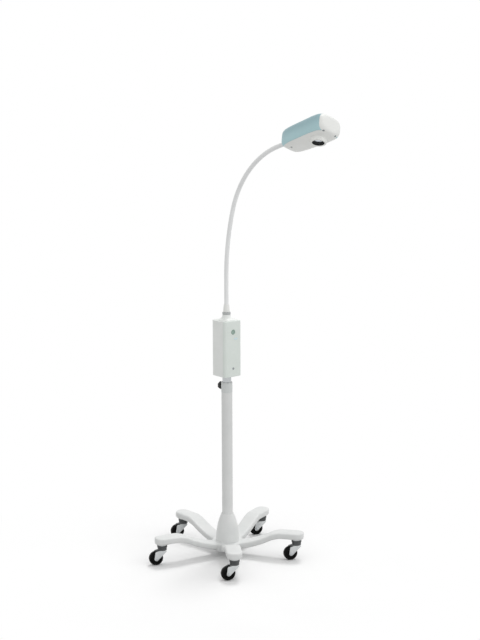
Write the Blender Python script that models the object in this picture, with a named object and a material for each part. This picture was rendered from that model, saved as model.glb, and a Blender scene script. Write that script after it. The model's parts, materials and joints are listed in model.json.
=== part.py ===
"""Mobile examination lamp: star base on casters, telescopic pole, control box, gooseneck and lamp head.

Metres, +Z up. The pole stands on the Z axis, the floor is z = 0 and the control panel faces -Y.
"""

import math

import bmesh
import bpy
from mathutils import Matrix, Vector

# Clearances
GAP = 0.0003
BALL_GAP = 0.0006
CUT_MARGIN = 0.02

# Casters
WHEEL_RADIUS = 0.025
WHEEL_WIDTH = 0.020
WHEEL_RIM_RADIUS = 0.0180
WHEEL_DISH_DEPTH = 0.004
WHEEL_SHOULDER = 0.004
WHEEL_FACETS = 24
WHEEL_HEADROOM = 0.0085
AXLE_RADIUS = 0.003
AXLE_HEAD_RADIUS = 0.0052
AXLE_HEAD_HEIGHT = 0.0018
FORK_PLATE_RADIUS = 0.0160
FORK_PLATE_HEIGHT = 0.004
FORK_CHEEK = 0.0025
FORK_SIDE_GAP = 0.0014
FORK_EYE_RADIUS = 0.0075
FORK_SHOULDER_DROP = 0.009
FORK_BACK_REACH = 0.004
KINGPIN_RADIUS = 0.0045
KINGPIN_HEIGHT = 0.012
CROWN_RADIUS = 0.0175
CROWN_HEIGHT = 0.012
CROWN_LIP = 0.003
STEM_RADIUS = 0.0055
STEM_HEIGHT = 0.015
CASTER_TRAIL = 0.0225
CASTER_TRAIL_AZIMUTH = math.radians(156.5)

# Star base
LEG_COUNT = 5
FIRST_LEG_AZIMUTH = math.radians(-122.7)
CASTER_CIRCLE_RADIUS = 0.248
LEG_TIP_BEYOND = 0.025
LEG_REACH = CASTER_CIRCLE_RADIUS + LEG_TIP_BEYOND
LEG_WIDTH = 0.054
LEG_THICKNESS = 0.0235
LEG_EDGE_RADIUS = 0.006
LEG_WALL = 0.004
LEG_BOSS_RADIUS = 0.020
LEG_TIP_RADIUS = 0.022
LEG_RISE = 0.0455
LEG_FIRST_SLOPE = 0.42
LEG_SLOPE_START = 0.048
LEG_SLOPE_END = 0.176
LEG_SLOPE_STEPS = 4
LEG_BEND_BLEND = 0.012
HUB_RADIUS = 0.056
HUB_DEPTH = 0.030
HUB_FLOOR = 0.010
HUB_EDGE = 0.003
LEG_ROOT_RADIUS = 0.020
LEG_ROOT_SINK = 0.001
BASE_BOLT_RADIUS = 0.005
BASE_BOLT_HEAD_RADIUS = 0.0105
BASE_BOLT_HEAD_HEIGHT = 0.005
CONE_FOOT_RADIUS = 0.0405
CONE_WALL = 0.0022
CONE_HEIGHT = 0.100
CONE_FOOT_HEIGHT = 0.004
CONE_FULLNESS = 2.15
CONE_STEPS = 6

# Pole
TUBE_RADIUS = 0.0190
TUBE_WALL = 0.0016
TUBE_LENGTH = 0.592
PLUG_HEIGHT = 0.022
BUSH_LENGTH = 0.042
BUSH_FLANGE = 0.002
POST_RADIUS = 0.0155
POST_WALL = 0.002
POST_SHOWN = 0.0237
POST_INSIDE_BOX = 0.040
POST_INSIDE_TUBE = 0.470
GUIDE_FLANGE = 0.012
GUIDE_SPIGOT = 0.018

# Clamp screw through the top of the tube
CLAMP_DROP = 0.015
CLAMP_SCREW_RADIUS = 0.003
CLAMP_BOSS_RADIUS = 0.008
CLAMP_BOSS_REACH = 0.0040
CLAMP_PAD_THICKNESS = 0.0012
CLAMP_PAD_RADIUS = 0.0036
CLAMP_TRAVEL = 0.003
KNOB_RADIUS = 0.0140
KNOB_LOBES = 7
KNOB_LOBE_DEPTH = 0.0013
KNOB_THICKNESS = 0.0135
KNOB_EDGE = 0.003
KNOB_STANDOFF = 0.0015
KNOB_SCREW_ENTRY = 0.010

# Control box
BOX_WIDTH = 0.074
BOX_DEPTH = 0.074
BOX_HEIGHT = 0.1953
BOX_CORNER = 0.010
BOX_EDGE = 0.0018
BOX_WALL = 0.0028
PANEL_DEPTH = 0.010
BUTTON_RADIUS = 0.0082
BUTTON_DROP = 0.038
BUTTON_PROUD = 0.0014
BUTTON_FLANGE = 0.0015
BUTTON_FLANGE_LIP = 0.0016
BUTTON_STEM_RADIUS = 0.003
BUTTON_TRAVEL = 0.002
WINDOW_WIDTH = 0.016
WINDOW_HEIGHT = 0.006
WINDOW_DROP = 0.062
WINDOW_OFFSET = 0.011
WINDOW_LIP = 0.0015
WINDOW_PROUD = 0.0004
PANEL_SCREW_RADIUS = 0.0022
PANEL_SCREW_HEAD = 0.0042
PANEL_SCREW_HEAD_HEIGHT = 0.0014
PANEL_SCREW_LENGTH = 0.012
PANEL_SCREW_RISE = 0.0293
PANEL_BOSS_RADIUS = 0.005
BOARD_WIDTH = 0.050
BOARD_HEIGHT = 0.110
BOARD_THICKNESS = 0.0016
BOARD_RISE = 0.055
BOARD_STANDOFF = 0.0105
STANDOFF_RADIUS = 0.003
STANDOFF_INSET = 0.005
MODULE_WIDTH = 0.038
MODULE_DEPTH = 0.026
MODULE_HEIGHT = 0.066
INLET_RADIUS = 0.0048
INLET_FLANGE_RADIUS = 0.0062
INLET_FLANGE = 0.0018
INLET_DEPTH = 0.012
INLET_SOCKET_RADIUS = 0.0027
INLET_OFFSET = 0.0262

# Neck seat on top of the box
SEAT_FOOT_RADIUS = 0.030
SEAT_TOP_RADIUS = 0.0142
SEAT_HEIGHT = 0.019
SEAT_FOOT_HEIGHT = 0.001
SEAT_STEPS = 4
RING_RADIUS = 0.0143
RING_HEIGHT = 0.0080
RING_CHAMFER = 0.001
FERRULE_RADIUS = 0.0110
FERRULE_RIM_HEIGHT = 0.009
FERRULE_HEIGHT = 0.026
FERRULE_WALL = 0.0012

# Gooseneck
NECK_RADIUS = 0.0075
NECK_AZIMUTH = math.radians(-85.5)
NECK_RISE = 0.089
NECK_LOWER_BEND_RADIUS = 0.845
NECK_LOWER_BEND = math.radians(16.3)
NECK_UPPER_BEND_RADIUS = 0.3285
NECK_UPPER_BEND = math.radians(56.4)
NECK_RUN_OUT = 0.053
NECK_PIVOTS = 7
NECK_SIDES = 12
NECK_RINGS = 3
BALL_RIM_ANGLE = math.radians(60.0)
BALL_STEPS = 3
TOP_FERRULE_RADIUS = 0.0105
TOP_FERRULE_HEIGHT = 0.022

# Lamp head
HEAD_LENGTH = 0.195
HEAD_FRONT_WIDTH = 0.102
HEAD_REAR_WIDTH = 0.085
HEAD_HEIGHT = 0.0675
HEAD_WALL = 0.0025
HEAD_ROLL = math.radians(-22.7)
HEAD_REAR_SHARE = 0.62
HEAD_REAR_POWER = 3.6
HEAD_NOSE_SHARE = 0.62
HEAD_NOSE_POWER = 3.2
HEAD_SECTION_POWER = 4.0
HEAD_SIDES = 28
HEAD_STATIONS = 12
PARTING_DROP = 0.027
NOSE_LENGTH = 0.011
NECK_SOCKET_DEPTH = 0.014
COLLAR_RADIUS = 0.0265
COLLAR_REACH = 0.010
COLLAR_INSIDE = 0.0245
LENS_FROM_CENTRE = 0.042
BARREL_OUTER_RADIUS = 0.0208
BARREL_MOUTH_RADIUS = 0.0196
BARREL_LIP_RADIUS = 0.0176
BARREL_BORE_RADIUS = 0.0186
BARREL_FLANGE = 0.002
LENS_RECESS = 0.013
LENS_THICKNESS = 0.005
LENS_DOME = 0.0015
REFLECTOR_THROAT_RADIUS = 0.0075
REFLECTOR_WALL = 0.001
LED_RADIUS = 0.0125
LED_THICKNESS = 0.003
SINK_BASE = 0.004
SINK_FINS = 5
SINK_FIN_THICKNESS = 0.0016
SINK_FIN_HEIGHT = 0.016
COVER_SCREW_RADIUS = 0.0018
COVER_SCREW_HEAD = 0.0034
COVER_SCREW_HEAD_HEIGHT = 0.0022
COVER_SCREW_LENGTH = 0.009
COVER_SCREW_FROM_NOSE = 0.008
COVER_SCREW_SPREAD = 0.0252
COVER_SCREW_SEAT = 0.0012

# Heights worked out from the sizes above
WHEEL_CENTRE = WHEEL_RADIUS * math.cos(math.pi / WHEEL_FACETS)
FORK_PLATE_UNDER = WHEEL_CENTRE + WHEEL_RADIUS + WHEEL_HEADROOM
FORK_PLATE_TOP = FORK_PLATE_UNDER + FORK_PLATE_HEIGHT
CROWN_UNDER = FORK_PLATE_TOP + GAP
CROWN_TOP = CROWN_UNDER + CROWN_HEIGHT
PAD_UNDER = CROWN_TOP + GAP
PAD_TOP = PAD_UNDER + LEG_THICKNESS
HUB_TOP = PAD_TOP - LEG_RISE
HUB_UNDER = HUB_TOP - HUB_DEPTH
TUBE_FOOT = HUB_UNDER + HUB_FLOOR + GAP
TUBE_TOP = TUBE_FOOT + TUBE_LENGTH
TUBE_BORE = TUBE_RADIUS - TUBE_WALL
BUSH_TOP = TUBE_TOP + GAP + BUSH_FLANGE
CLAMP_HEIGHT = TUBE_TOP - CLAMP_DROP
POST_FOOT = TUBE_TOP - POST_INSIDE_TUBE
BOX_UNDER = BUSH_TOP + POST_SHOWN
BOX_TOP = BOX_UNDER + BOX_HEIGHT
PANEL_FACE = -BOX_DEPTH / 2
PANEL_SPLIT = PANEL_FACE + PANEL_DEPTH
PANEL_INNER = PANEL_FACE + BOX_WALL
SEAT_UNDER = BOX_TOP + GAP
SEAT_TOP = SEAT_UNDER + SEAT_HEIGHT
RING_UNDER = SEAT_TOP + GAP
RING_TOP = RING_UNDER + RING_HEIGHT
FERRULE_UNDER = RING_TOP + GAP
FERRULE_TOP = FERRULE_UNDER + FERRULE_HEIGHT
NECK_FOOT = BOX_TOP - 2 * BOX_WALL
NECK_BORE = NECK_RADIUS + GAP

# Directions
UP = Vector((0, 0, 1))
NECK_OUT = Vector((math.cos(NECK_AZIMUTH), math.sin(NECK_AZIMUTH), 0))
NECK_SIDE = UP.cross(NECK_OUT)


def clear_scene():
    for old in list(bpy.data.objects):
        bpy.data.objects.remove(old)


def make_material(name, colour, roughness, metallic=0.0):
    material = bpy.data.materials.new(name)
    material.use_nodes = True
    shader = material.node_tree.nodes["Principled BSDF"]
    shader.inputs["Base Color"].default_value = (*colour, 1.0)
    shader.inputs["Roughness"].default_value = roughness
    shader.inputs["Metallic"].default_value = metallic
    return material


def make_empty(name, location=(0, 0, 0), rotation=None):
    """Empty on a joint axis, which carries the pieces of one moving body."""
    empty = bpy.data.objects.new(name, None)
    if rotation is None:
        rotation = Matrix.Identity(3)
    empty.matrix_world = Matrix.Translation(location) @ rotation.to_4x4()
    bpy.context.scene.collection.objects.link(empty)
    return empty


def make_object(name, bm, material=None, parent=None):
    bmesh.ops.recalc_face_normals(bm, faces=bm.faces)
    mesh = bpy.data.meshes.new(name)
    bm.to_mesh(mesh)
    bm.free()
    mesh.shade_smooth()
    mesh.set_sharp_from_angle(angle=math.radians(35))
    piece = bpy.data.objects.new(name, mesh)
    if material:
        mesh.materials.append(material)
    piece.parent = parent
    bpy.context.scene.collection.objects.link(piece)
    return piece


def combine(piece, bm, operation):
    """Boolean with a hidden helper that shares the piece's parent."""
    helper = make_object(f"helper.{piece.name}.{len(piece.modifiers)}", bm, parent=piece.parent)
    helper.hide_render = True
    helper.display_type = "WIRE"
    modifier = piece.modifiers.new(operation.lower(), "BOOLEAN")
    modifier.operation = operation
    modifier.solver = "EXACT"
    modifier.object = helper
    return helper


def cut(piece, bm):
    combine(piece, bm, "DIFFERENCE")


def join(piece, bm):
    combine(piece, bm, "UNION")


def moved(bm, matrix):
    bmesh.ops.transform(bm, matrix=matrix, verts=bm.verts)
    return bm


def turned(profile, segments):
    """Solid of revolution about Z from an outline of (radius, height) points."""
    bm = bmesh.new()
    verts = [bm.verts.new((radius, 0, height)) for radius, height in profile]
    edges = []
    for start, end in zip(verts, verts[1:] + verts[:1]):
        if start.co.x > 0 or end.co.x > 0:
            edges.append(bm.edges.new((start, end)))
    bmesh.ops.spin(bm, geom=verts + edges, cent=(0, 0, 0), axis=UP, angle=math.tau, steps=segments,
                   use_merge=True)
    bmesh.ops.remove_doubles(bm, verts=bm.verts, dist=1e-6)
    return bm


def rod(radius, bottom, top, segments=20):
    return turned([(0, top), (radius, top), (radius, bottom), (0, bottom)], segments)


def tube(outer, inner, bottom, top, segments=32):
    return turned([(outer, top), (outer, bottom), (inner, bottom), (inner, top)], segments)


def block(low, high):
    bm = bmesh.new()
    size = Vector(high) - Vector(low)
    middle = (Vector(high) + Vector(low)) / 2
    bmesh.ops.create_cube(bm, size=1.0, matrix=Matrix.Translation(middle) @ Matrix.Diagonal(size).to_4x4())
    return bm


def loft(rings):
    """Closed skin through rings of points; a ring of one point closes to a pole."""
    bm = bmesh.new()
    loops = [[bm.verts.new(point) for point in ring] for ring in rings]
    for lower, upper in zip(loops, loops[1:]):
        count = max(len(lower), len(upper))
        for i in range(count):
            j = (i + 1) % count
            corners = [lower[i % len(lower)], lower[j % len(lower)], upper[j % len(upper)], upper[i % len(upper)]]
            bm.faces.new(list(dict.fromkeys(corners)))
    for end in (loops[0], loops[-1]):
        if len(end) > 2:
            bm.faces.new(end)
    return bm


def rounded_rectangle(width, height, radius, steps=3):
    """Points of a rounded rectangle about the origin, counter-clockwise."""
    points = []
    corners = ((1, 1, 0), (-1, 1, 90), (-1, -1, 180), (1, -1, 270))
    for sign_x, sign_y, start in corners:
        for step in range(steps + 1):
            angle = math.radians(start + 90 * step / steps)
            points.append((sign_x * (width / 2 - radius) + radius * math.cos(angle),
                           sign_y * (height / 2 - radius) + radius * math.sin(angle)))
    return points


# Star base

def leg_top(reach):
    """Height of a leg's top face, level at the hub and over the caster and curving up between them."""
    start = HUB_TOP - LEG_ROOT_SINK
    share = min(max((reach - LEG_SLOPE_START) / (LEG_SLOPE_END - LEG_SLOPE_START), 0.0), 1.0)
    return start + (PAD_TOP - start) * (LEG_FIRST_SLOPE * share + (1 - LEG_FIRST_SLOPE) * share ** 2)


def slope_reaches():
    """Distances from the pole at which a leg's slope is drawn, up to the bend over the caster."""
    run = LEG_SLOPE_END - LEG_BEND_BLEND - LEG_SLOPE_START
    return [LEG_SLOPE_START + run * step / LEG_SLOPE_STEPS for step in range(LEG_SLOPE_STEPS + 1)]


def leg_half_width(reach):
    """Half width of a leg, drawn in to a round at its tip."""
    past = reach - (LEG_REACH - LEG_TIP_RADIUS)
    if past <= 0:
        return LEG_WIDTH / 2
    return LEG_WIDTH / 2 - LEG_TIP_RADIUS + math.sqrt(max(LEG_TIP_RADIUS ** 2 - past ** 2, 0.0))


def make_leg():
    """One gull-wing leg along +X, a rounded bar lofted from hub to tip."""
    reaches = [LEG_ROOT_RADIUS, *slope_reaches(), LEG_SLOPE_END + LEG_BEND_BLEND]
    reaches += [LEG_REACH - LEG_TIP_RADIUS * (1 - math.sin(math.radians(angle))) for angle in (0, 40, 70)]
    reaches.append(LEG_REACH)
    rings = []
    for reach in reaches:
        draw_in = LEG_EDGE_RADIUS / 3 if reach == LEG_REACH else 0.0
        outline = rounded_rectangle(2 * leg_half_width(reach), LEG_THICKNESS - 2 * draw_in,
                                    LEG_EDGE_RADIUS - draw_in, 2)
        middle = leg_top(reach) - LEG_THICKNESS / 2
        rings.append([(reach, across, middle + up) for across, up in outline])
    return loft(rings)


def make_leg_hollow():
    """Core that leaves a leg open below, up to its caster boss."""
    half = LEG_WIDTH / 2 - LEG_WALL
    low = HUB_UNDER - CUT_MARGIN
    rings = []
    past_hub = [reach for reach in slope_reaches() if reach > HUB_RADIUS]
    for reach in (HUB_RADIUS, *past_hub, LEG_SLOPE_END + LEG_BEND_BLEND, CASTER_CIRCLE_RADIUS - LEG_BOSS_RADIUS):
        top = leg_top(reach) - LEG_WALL
        rings.append([(reach, half, top), (reach, -half, top), (reach, -half, low), (reach, half, low)])
    return loft(rings)


def leg_azimuth(index):
    return FIRST_LEG_AZIMUTH + math.tau * index / LEG_COUNT


def caster_spot(index):
    azimuth = leg_azimuth(index)
    return Vector((math.cos(azimuth), math.sin(azimuth), 0)) * CASTER_CIRCLE_RADIUS


def make_base(paint, metal):
    star = make_object("base_star", turned([
        (0, HUB_TOP), (HUB_RADIUS - HUB_EDGE, HUB_TOP), (HUB_RADIUS, HUB_TOP - HUB_EDGE),
        (HUB_RADIUS, HUB_UNDER + HUB_EDGE), (HUB_RADIUS - HUB_EDGE, HUB_UNDER), (0, HUB_UNDER)], 30), paint)
    for index in range(LEG_COUNT):
        join(star, moved(make_leg(), Matrix.Rotation(leg_azimuth(index), 4, "Z")))
    for index in range(LEG_COUNT):
        cut(star, moved(make_leg_hollow(), Matrix.Rotation(leg_azimuth(index), 4, "Z")))
        hole = rod(STEM_RADIUS + GAP, PAD_UNDER - CUT_MARGIN, PAD_UNDER + STEM_HEIGHT + GAP, 16)
        cut(star, moved(hole, Matrix.Translation(caster_spot(index))))
    cut(star, rod(TUBE_RADIUS + GAP, TUBE_FOOT - GAP, HUB_TOP + CUT_MARGIN, 32))
    cut(star, rod(BASE_BOLT_RADIUS + GAP, HUB_UNDER - CUT_MARGIN, TUBE_FOOT + CUT_MARGIN))

    cone_bore = TUBE_RADIUS + GAP
    cone_foot = HUB_TOP + GAP
    cone_top_radius = cone_bore + CONE_WALL
    profile = []
    for step in range(CONE_STEPS + 1):
        share = 1 - step / CONE_STEPS
        radius = cone_top_radius + (CONE_FOOT_RADIUS - cone_top_radius) * (1 - share ** CONE_FULLNESS)
        profile.append((radius, cone_foot + CONE_FOOT_HEIGHT + share * (CONE_HEIGHT - CONE_FOOT_HEIGHT)))
    profile += [(CONE_FOOT_RADIUS, cone_foot), (cone_bore, cone_foot), (cone_bore, cone_foot + CONE_HEIGHT)]
    make_object("hub_cone", turned(profile, 28), paint)

    make_object("tube_plug", tube(TUBE_BORE - GAP, BASE_BOLT_RADIUS + GAP, TUBE_FOOT, TUBE_FOOT + PLUG_HEIGHT, 24),
                metal)
    bolt_seat = HUB_UNDER - GAP
    make_object("base_bolt", turned([
        (0, TUBE_FOOT + PLUG_HEIGHT), (BASE_BOLT_RADIUS, TUBE_FOOT + PLUG_HEIGHT), (BASE_BOLT_RADIUS, bolt_seat),
        (BASE_BOLT_HEAD_RADIUS, bolt_seat), (BASE_BOLT_HEAD_RADIUS, bolt_seat - BASE_BOLT_HEAD_HEIGHT),
        (0, bolt_seat - BASE_BOLT_HEAD_HEIGHT)], 18), metal)


# Casters

def make_crown(name, spot, dark):
    """Raceway cap under a leg, with a stem up into the leg and a socket for the kingpin."""
    bore = KINGPIN_RADIUS + GAP
    crown = turned([
        (0, CROWN_TOP + STEM_HEIGHT), (STEM_RADIUS, CROWN_TOP + STEM_HEIGHT), (STEM_RADIUS, CROWN_TOP),
        (CROWN_RADIUS - CROWN_LIP, CROWN_TOP), (CROWN_RADIUS, CROWN_TOP - CROWN_LIP),
        (CROWN_RADIUS, CROWN_UNDER), (bore, CROWN_UNDER), (bore, FORK_PLATE_TOP + KINGPIN_HEIGHT + GAP),
        (0, FORK_PLATE_TOP + KINGPIN_HEIGHT + GAP)], 16)
    make_object(name, moved(crown, Matrix.Translation(spot)), dark)


def cheek_outline():
    """Side view of a fork cheek as (trail, height) points, from the plate down round the axle eye."""
    inside = FORK_PLATE_UNDER + FORK_PLATE_HEIGHT / 2
    front = FORK_PLATE_RADIUS * 0.82
    points = [(-front, inside), (-front, FORK_PLATE_UNDER - FORK_SHOULDER_DROP / 2)]
    for angle in range(215, 366, 30):
        turn = math.radians(angle)
        points.append((CASTER_TRAIL + FORK_EYE_RADIUS * math.cos(turn),
                       WHEEL_CENTRE + FORK_EYE_RADIUS * math.sin(turn)))
    points += [(CASTER_TRAIL + FORK_BACK_REACH, FORK_PLATE_UNDER - FORK_SHOULDER_DROP),
               (front, FORK_PLATE_UNDER), (front, inside)]
    return points


def make_caster(number, spot, zinc, black):
    """Fork, axle and wheel of one caster, on empties at its swivel and its axle."""
    heading = Matrix.Rotation(CASTER_TRAIL_AZIMUTH, 3, "Z")
    swivel = make_empty(f"axis_caster_swivel_{number}", spot, heading)
    axle_place = spot + heading @ Vector((CASTER_TRAIL, 0, WHEEL_CENTRE))
    spin_axis = make_empty(f"axis_wheel_spin_{number}", axle_place, heading)
    across = Matrix.Rotation(math.radians(90), 4, "X")

    pin_top = FORK_PLATE_TOP + KINGPIN_HEIGHT
    fork = make_object(f"caster_fork_{number}", turned([
        (0, pin_top), (KINGPIN_RADIUS, pin_top), (KINGPIN_RADIUS, FORK_PLATE_TOP), (FORK_PLATE_RADIUS, FORK_PLATE_TOP),
        (FORK_PLATE_RADIUS, FORK_PLATE_UNDER), (0, FORK_PLATE_UNDER)], 16), zinc, swivel)
    inner = WHEEL_WIDTH / 2 + FORK_SIDE_GAP
    outer = inner + FORK_CHEEK
    for side in (-1, 1):
        rings = [[(trail, side * y, height) for trail, height in cheek_outline()] for y in (inner, outer)]
        join(fork, loft(rings))
    axle_line = Matrix.Translation((CASTER_TRAIL, 0, WHEEL_CENTRE)) @ across
    cut(fork, moved(rod(AXLE_RADIUS + GAP, -outer - CUT_MARGIN, outer + CUT_MARGIN, 12), axle_line))

    head = outer + GAP
    end = head + AXLE_HEAD_HEIGHT
    axle = turned([(0, end), (AXLE_HEAD_RADIUS, end), (AXLE_HEAD_RADIUS, head), (AXLE_RADIUS, head),
                   (AXLE_RADIUS, -head), (AXLE_HEAD_RADIUS, -head), (AXLE_HEAD_RADIUS, -end), (0, -end)], 10)
    make_object(f"caster_axle_{number}", moved(axle, axle_line), zinc, swivel)

    half = WHEEL_WIDTH / 2
    dish = half - WHEEL_DISH_DEPTH
    bore = AXLE_RADIUS + GAP
    tread = [(bore, half), (WHEEL_RIM_RADIUS, dish), (WHEEL_RIM_RADIUS, half),
             (WHEEL_RADIUS - WHEEL_SHOULDER, half), (WHEEL_RADIUS, half - WHEEL_SHOULDER)]
    profile = tread + [(radius, -height) for radius, height in reversed(tread)]
    facet_down = Matrix.Rotation(math.pi / WHEEL_FACETS, 4, "Z")
    wheel = moved(turned(profile, WHEEL_FACETS), across @ facet_down)
    make_object(f"caster_wheel_{number}", wheel, black, spin_axis)


# Pole and clamp

def make_pole(paint, metal, plastic, black):
    outward = Matrix.Rotation(math.radians(-90), 3, "X")
    clamp_line = Matrix.Translation((0, 0, CLAMP_HEIGHT)) @ outward.to_4x4()
    screw_bore = CLAMP_SCREW_RADIUS + GAP
    pad_bore = CLAMP_PAD_RADIUS + GAP
    pad_face = POST_RADIUS + GAP
    pad_back = pad_face + CLAMP_PAD_THICKNESS

    outer = make_object("outer_tube", tube(TUBE_RADIUS, TUBE_BORE, TUBE_FOOT, TUBE_TOP, 28), paint)
    boss_end = TUBE_RADIUS + CLAMP_BOSS_REACH
    join(outer, moved(rod(CLAMP_BOSS_RADIUS, TUBE_BORE + TUBE_WALL / 3, boss_end, 20), clamp_line))
    cut(outer, moved(rod(pad_bore, TUBE_BORE / 2, pad_back + CLAMP_TRAVEL + GAP, 16), clamp_line))
    cut(outer, moved(rod(screw_bore, TUBE_BORE / 2, boss_end + CUT_MARGIN, 16), clamp_line))

    bush_outer = TUBE_BORE - GAP
    bush_inner = POST_RADIUS + GAP
    seat = TUBE_TOP + GAP
    bush = make_object("tube_bush", turned([
        (TUBE_RADIUS, BUSH_TOP), (TUBE_RADIUS, seat), (bush_outer, seat), (bush_outer, TUBE_TOP - BUSH_LENGTH),
        (bush_inner, TUBE_TOP - BUSH_LENGTH), (bush_inner, BUSH_TOP)], 28), plastic)
    cut(bush, moved(rod(pad_bore, POST_RADIUS / 2, TUBE_BORE + CUT_MARGIN, 16), clamp_line))

    pad_axis = make_empty("axis_clamp_slide", (0, 0, CLAMP_HEIGHT), outward)
    make_object("clamp_pad", rod(CLAMP_PAD_RADIUS, pad_face, pad_back - GAP, 16), plastic, pad_axis)

    turn_axis = make_empty("axis_clamp_turn", (0, 0, CLAMP_HEIGHT), outward)
    knob_near = boss_end + KNOB_STANDOFF
    screw_end = knob_near + KNOB_SCREW_ENTRY
    make_object("clamp_screw", rod(CLAMP_SCREW_RADIUS, pad_back, screw_end, 16), metal, turn_axis)
    knob = make_object("clamp_knob", make_knob(knob_near), black, turn_axis)
    cut(knob, rod(screw_bore, knob_near - CUT_MARGIN, screw_end + GAP, 16))

    guide_axis = make_empty("axis_height_slide", (0, 0, POST_FOOT))
    post_bore = POST_RADIUS - POST_WALL
    guide = turned([
        (0, GUIDE_SPIGOT), (post_bore - GAP, GUIDE_SPIGOT), (post_bore - GAP, -GAP), (TUBE_BORE - GAP, -GAP),
        (TUBE_BORE - GAP, -GAP - GUIDE_FLANGE), (0, -GAP - GUIDE_FLANGE)], 28)
    make_object("guide_bush", guide, plastic, guide_axis)

    swivel_axis = make_empty("axis_mast_swivel", (0, 0, POST_FOOT))
    post_length = BOX_UNDER + POST_INSIDE_BOX - POST_FOOT
    make_object("inner_post", tube(POST_RADIUS, post_bore, 0, post_length, 28), metal, swivel_axis)


def make_knob(near):
    """Lobed hand knob with a rounded rim, along the clamp line from its near face."""
    count = KNOB_LOBES * 5
    stations = [(0, KNOB_EDGE), (KNOB_EDGE, 0), (KNOB_THICKNESS - KNOB_EDGE, 0), (KNOB_THICKNESS, KNOB_EDGE)]
    rings = []
    for height, draw_in in stations:
        ring = []
        for step in range(count):
            turn = math.tau * step / count
            radius = KNOB_RADIUS - draw_in - KNOB_LOBE_DEPTH * (1 - math.cos(KNOB_LOBES * turn)) / 2
            ring.append((radius * math.cos(turn), radius * math.sin(turn), near + height))
        rings.append(ring)
    return loft(rings)


# Control box

def box_form(inset):
    """Upright box with rounded corners and edges, drawn in all round by the inset."""
    low = BOX_UNDER + inset
    high = BOX_TOP - inset
    stations = [(low, BOX_EDGE), (low + BOX_EDGE * 0.3, BOX_EDGE * 0.3), (low + BOX_EDGE, 0),
                (high - BOX_EDGE, 0), (high - BOX_EDGE * 0.3, BOX_EDGE * 0.3), (high, BOX_EDGE)]
    rings = []
    for height, draw_in in stations:
        shrink = inset + draw_in
        outline = rounded_rectangle(BOX_WIDTH - 2 * shrink, BOX_DEPTH - 2 * shrink, BOX_CORNER - draw_in, 3)
        rings.append([(x, y, height) for x, y in outline])
    return loft(rings)


def slab_cut(piece, low_y, high_y):
    """Cuts away everything of a box piece between two depths."""
    reach = BOX_WIDTH
    cut(piece, block((-reach, low_y, BOX_UNDER - CUT_MARGIN), (reach, high_y, BOX_TOP + CUT_MARGIN)))


def panel_line(x, z):
    """Line through the panel at a point, with local +Z out of the panel."""
    return Matrix.Translation((x, PANEL_FACE, z)) @ Matrix.Rotation(math.radians(90), 4, "X")


def window_block(grow, front, back):
    """Block the size of the indicator window, grown all round, between two depths."""
    half_width = WINDOW_WIDTH / 2 + grow
    half_height = WINDOW_HEIGHT / 2 + grow
    height = BOX_TOP - WINDOW_DROP
    return block((WINDOW_OFFSET - half_width, front, height - half_height),
                 (WINDOW_OFFSET + half_width, back, height + half_height))


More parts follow.
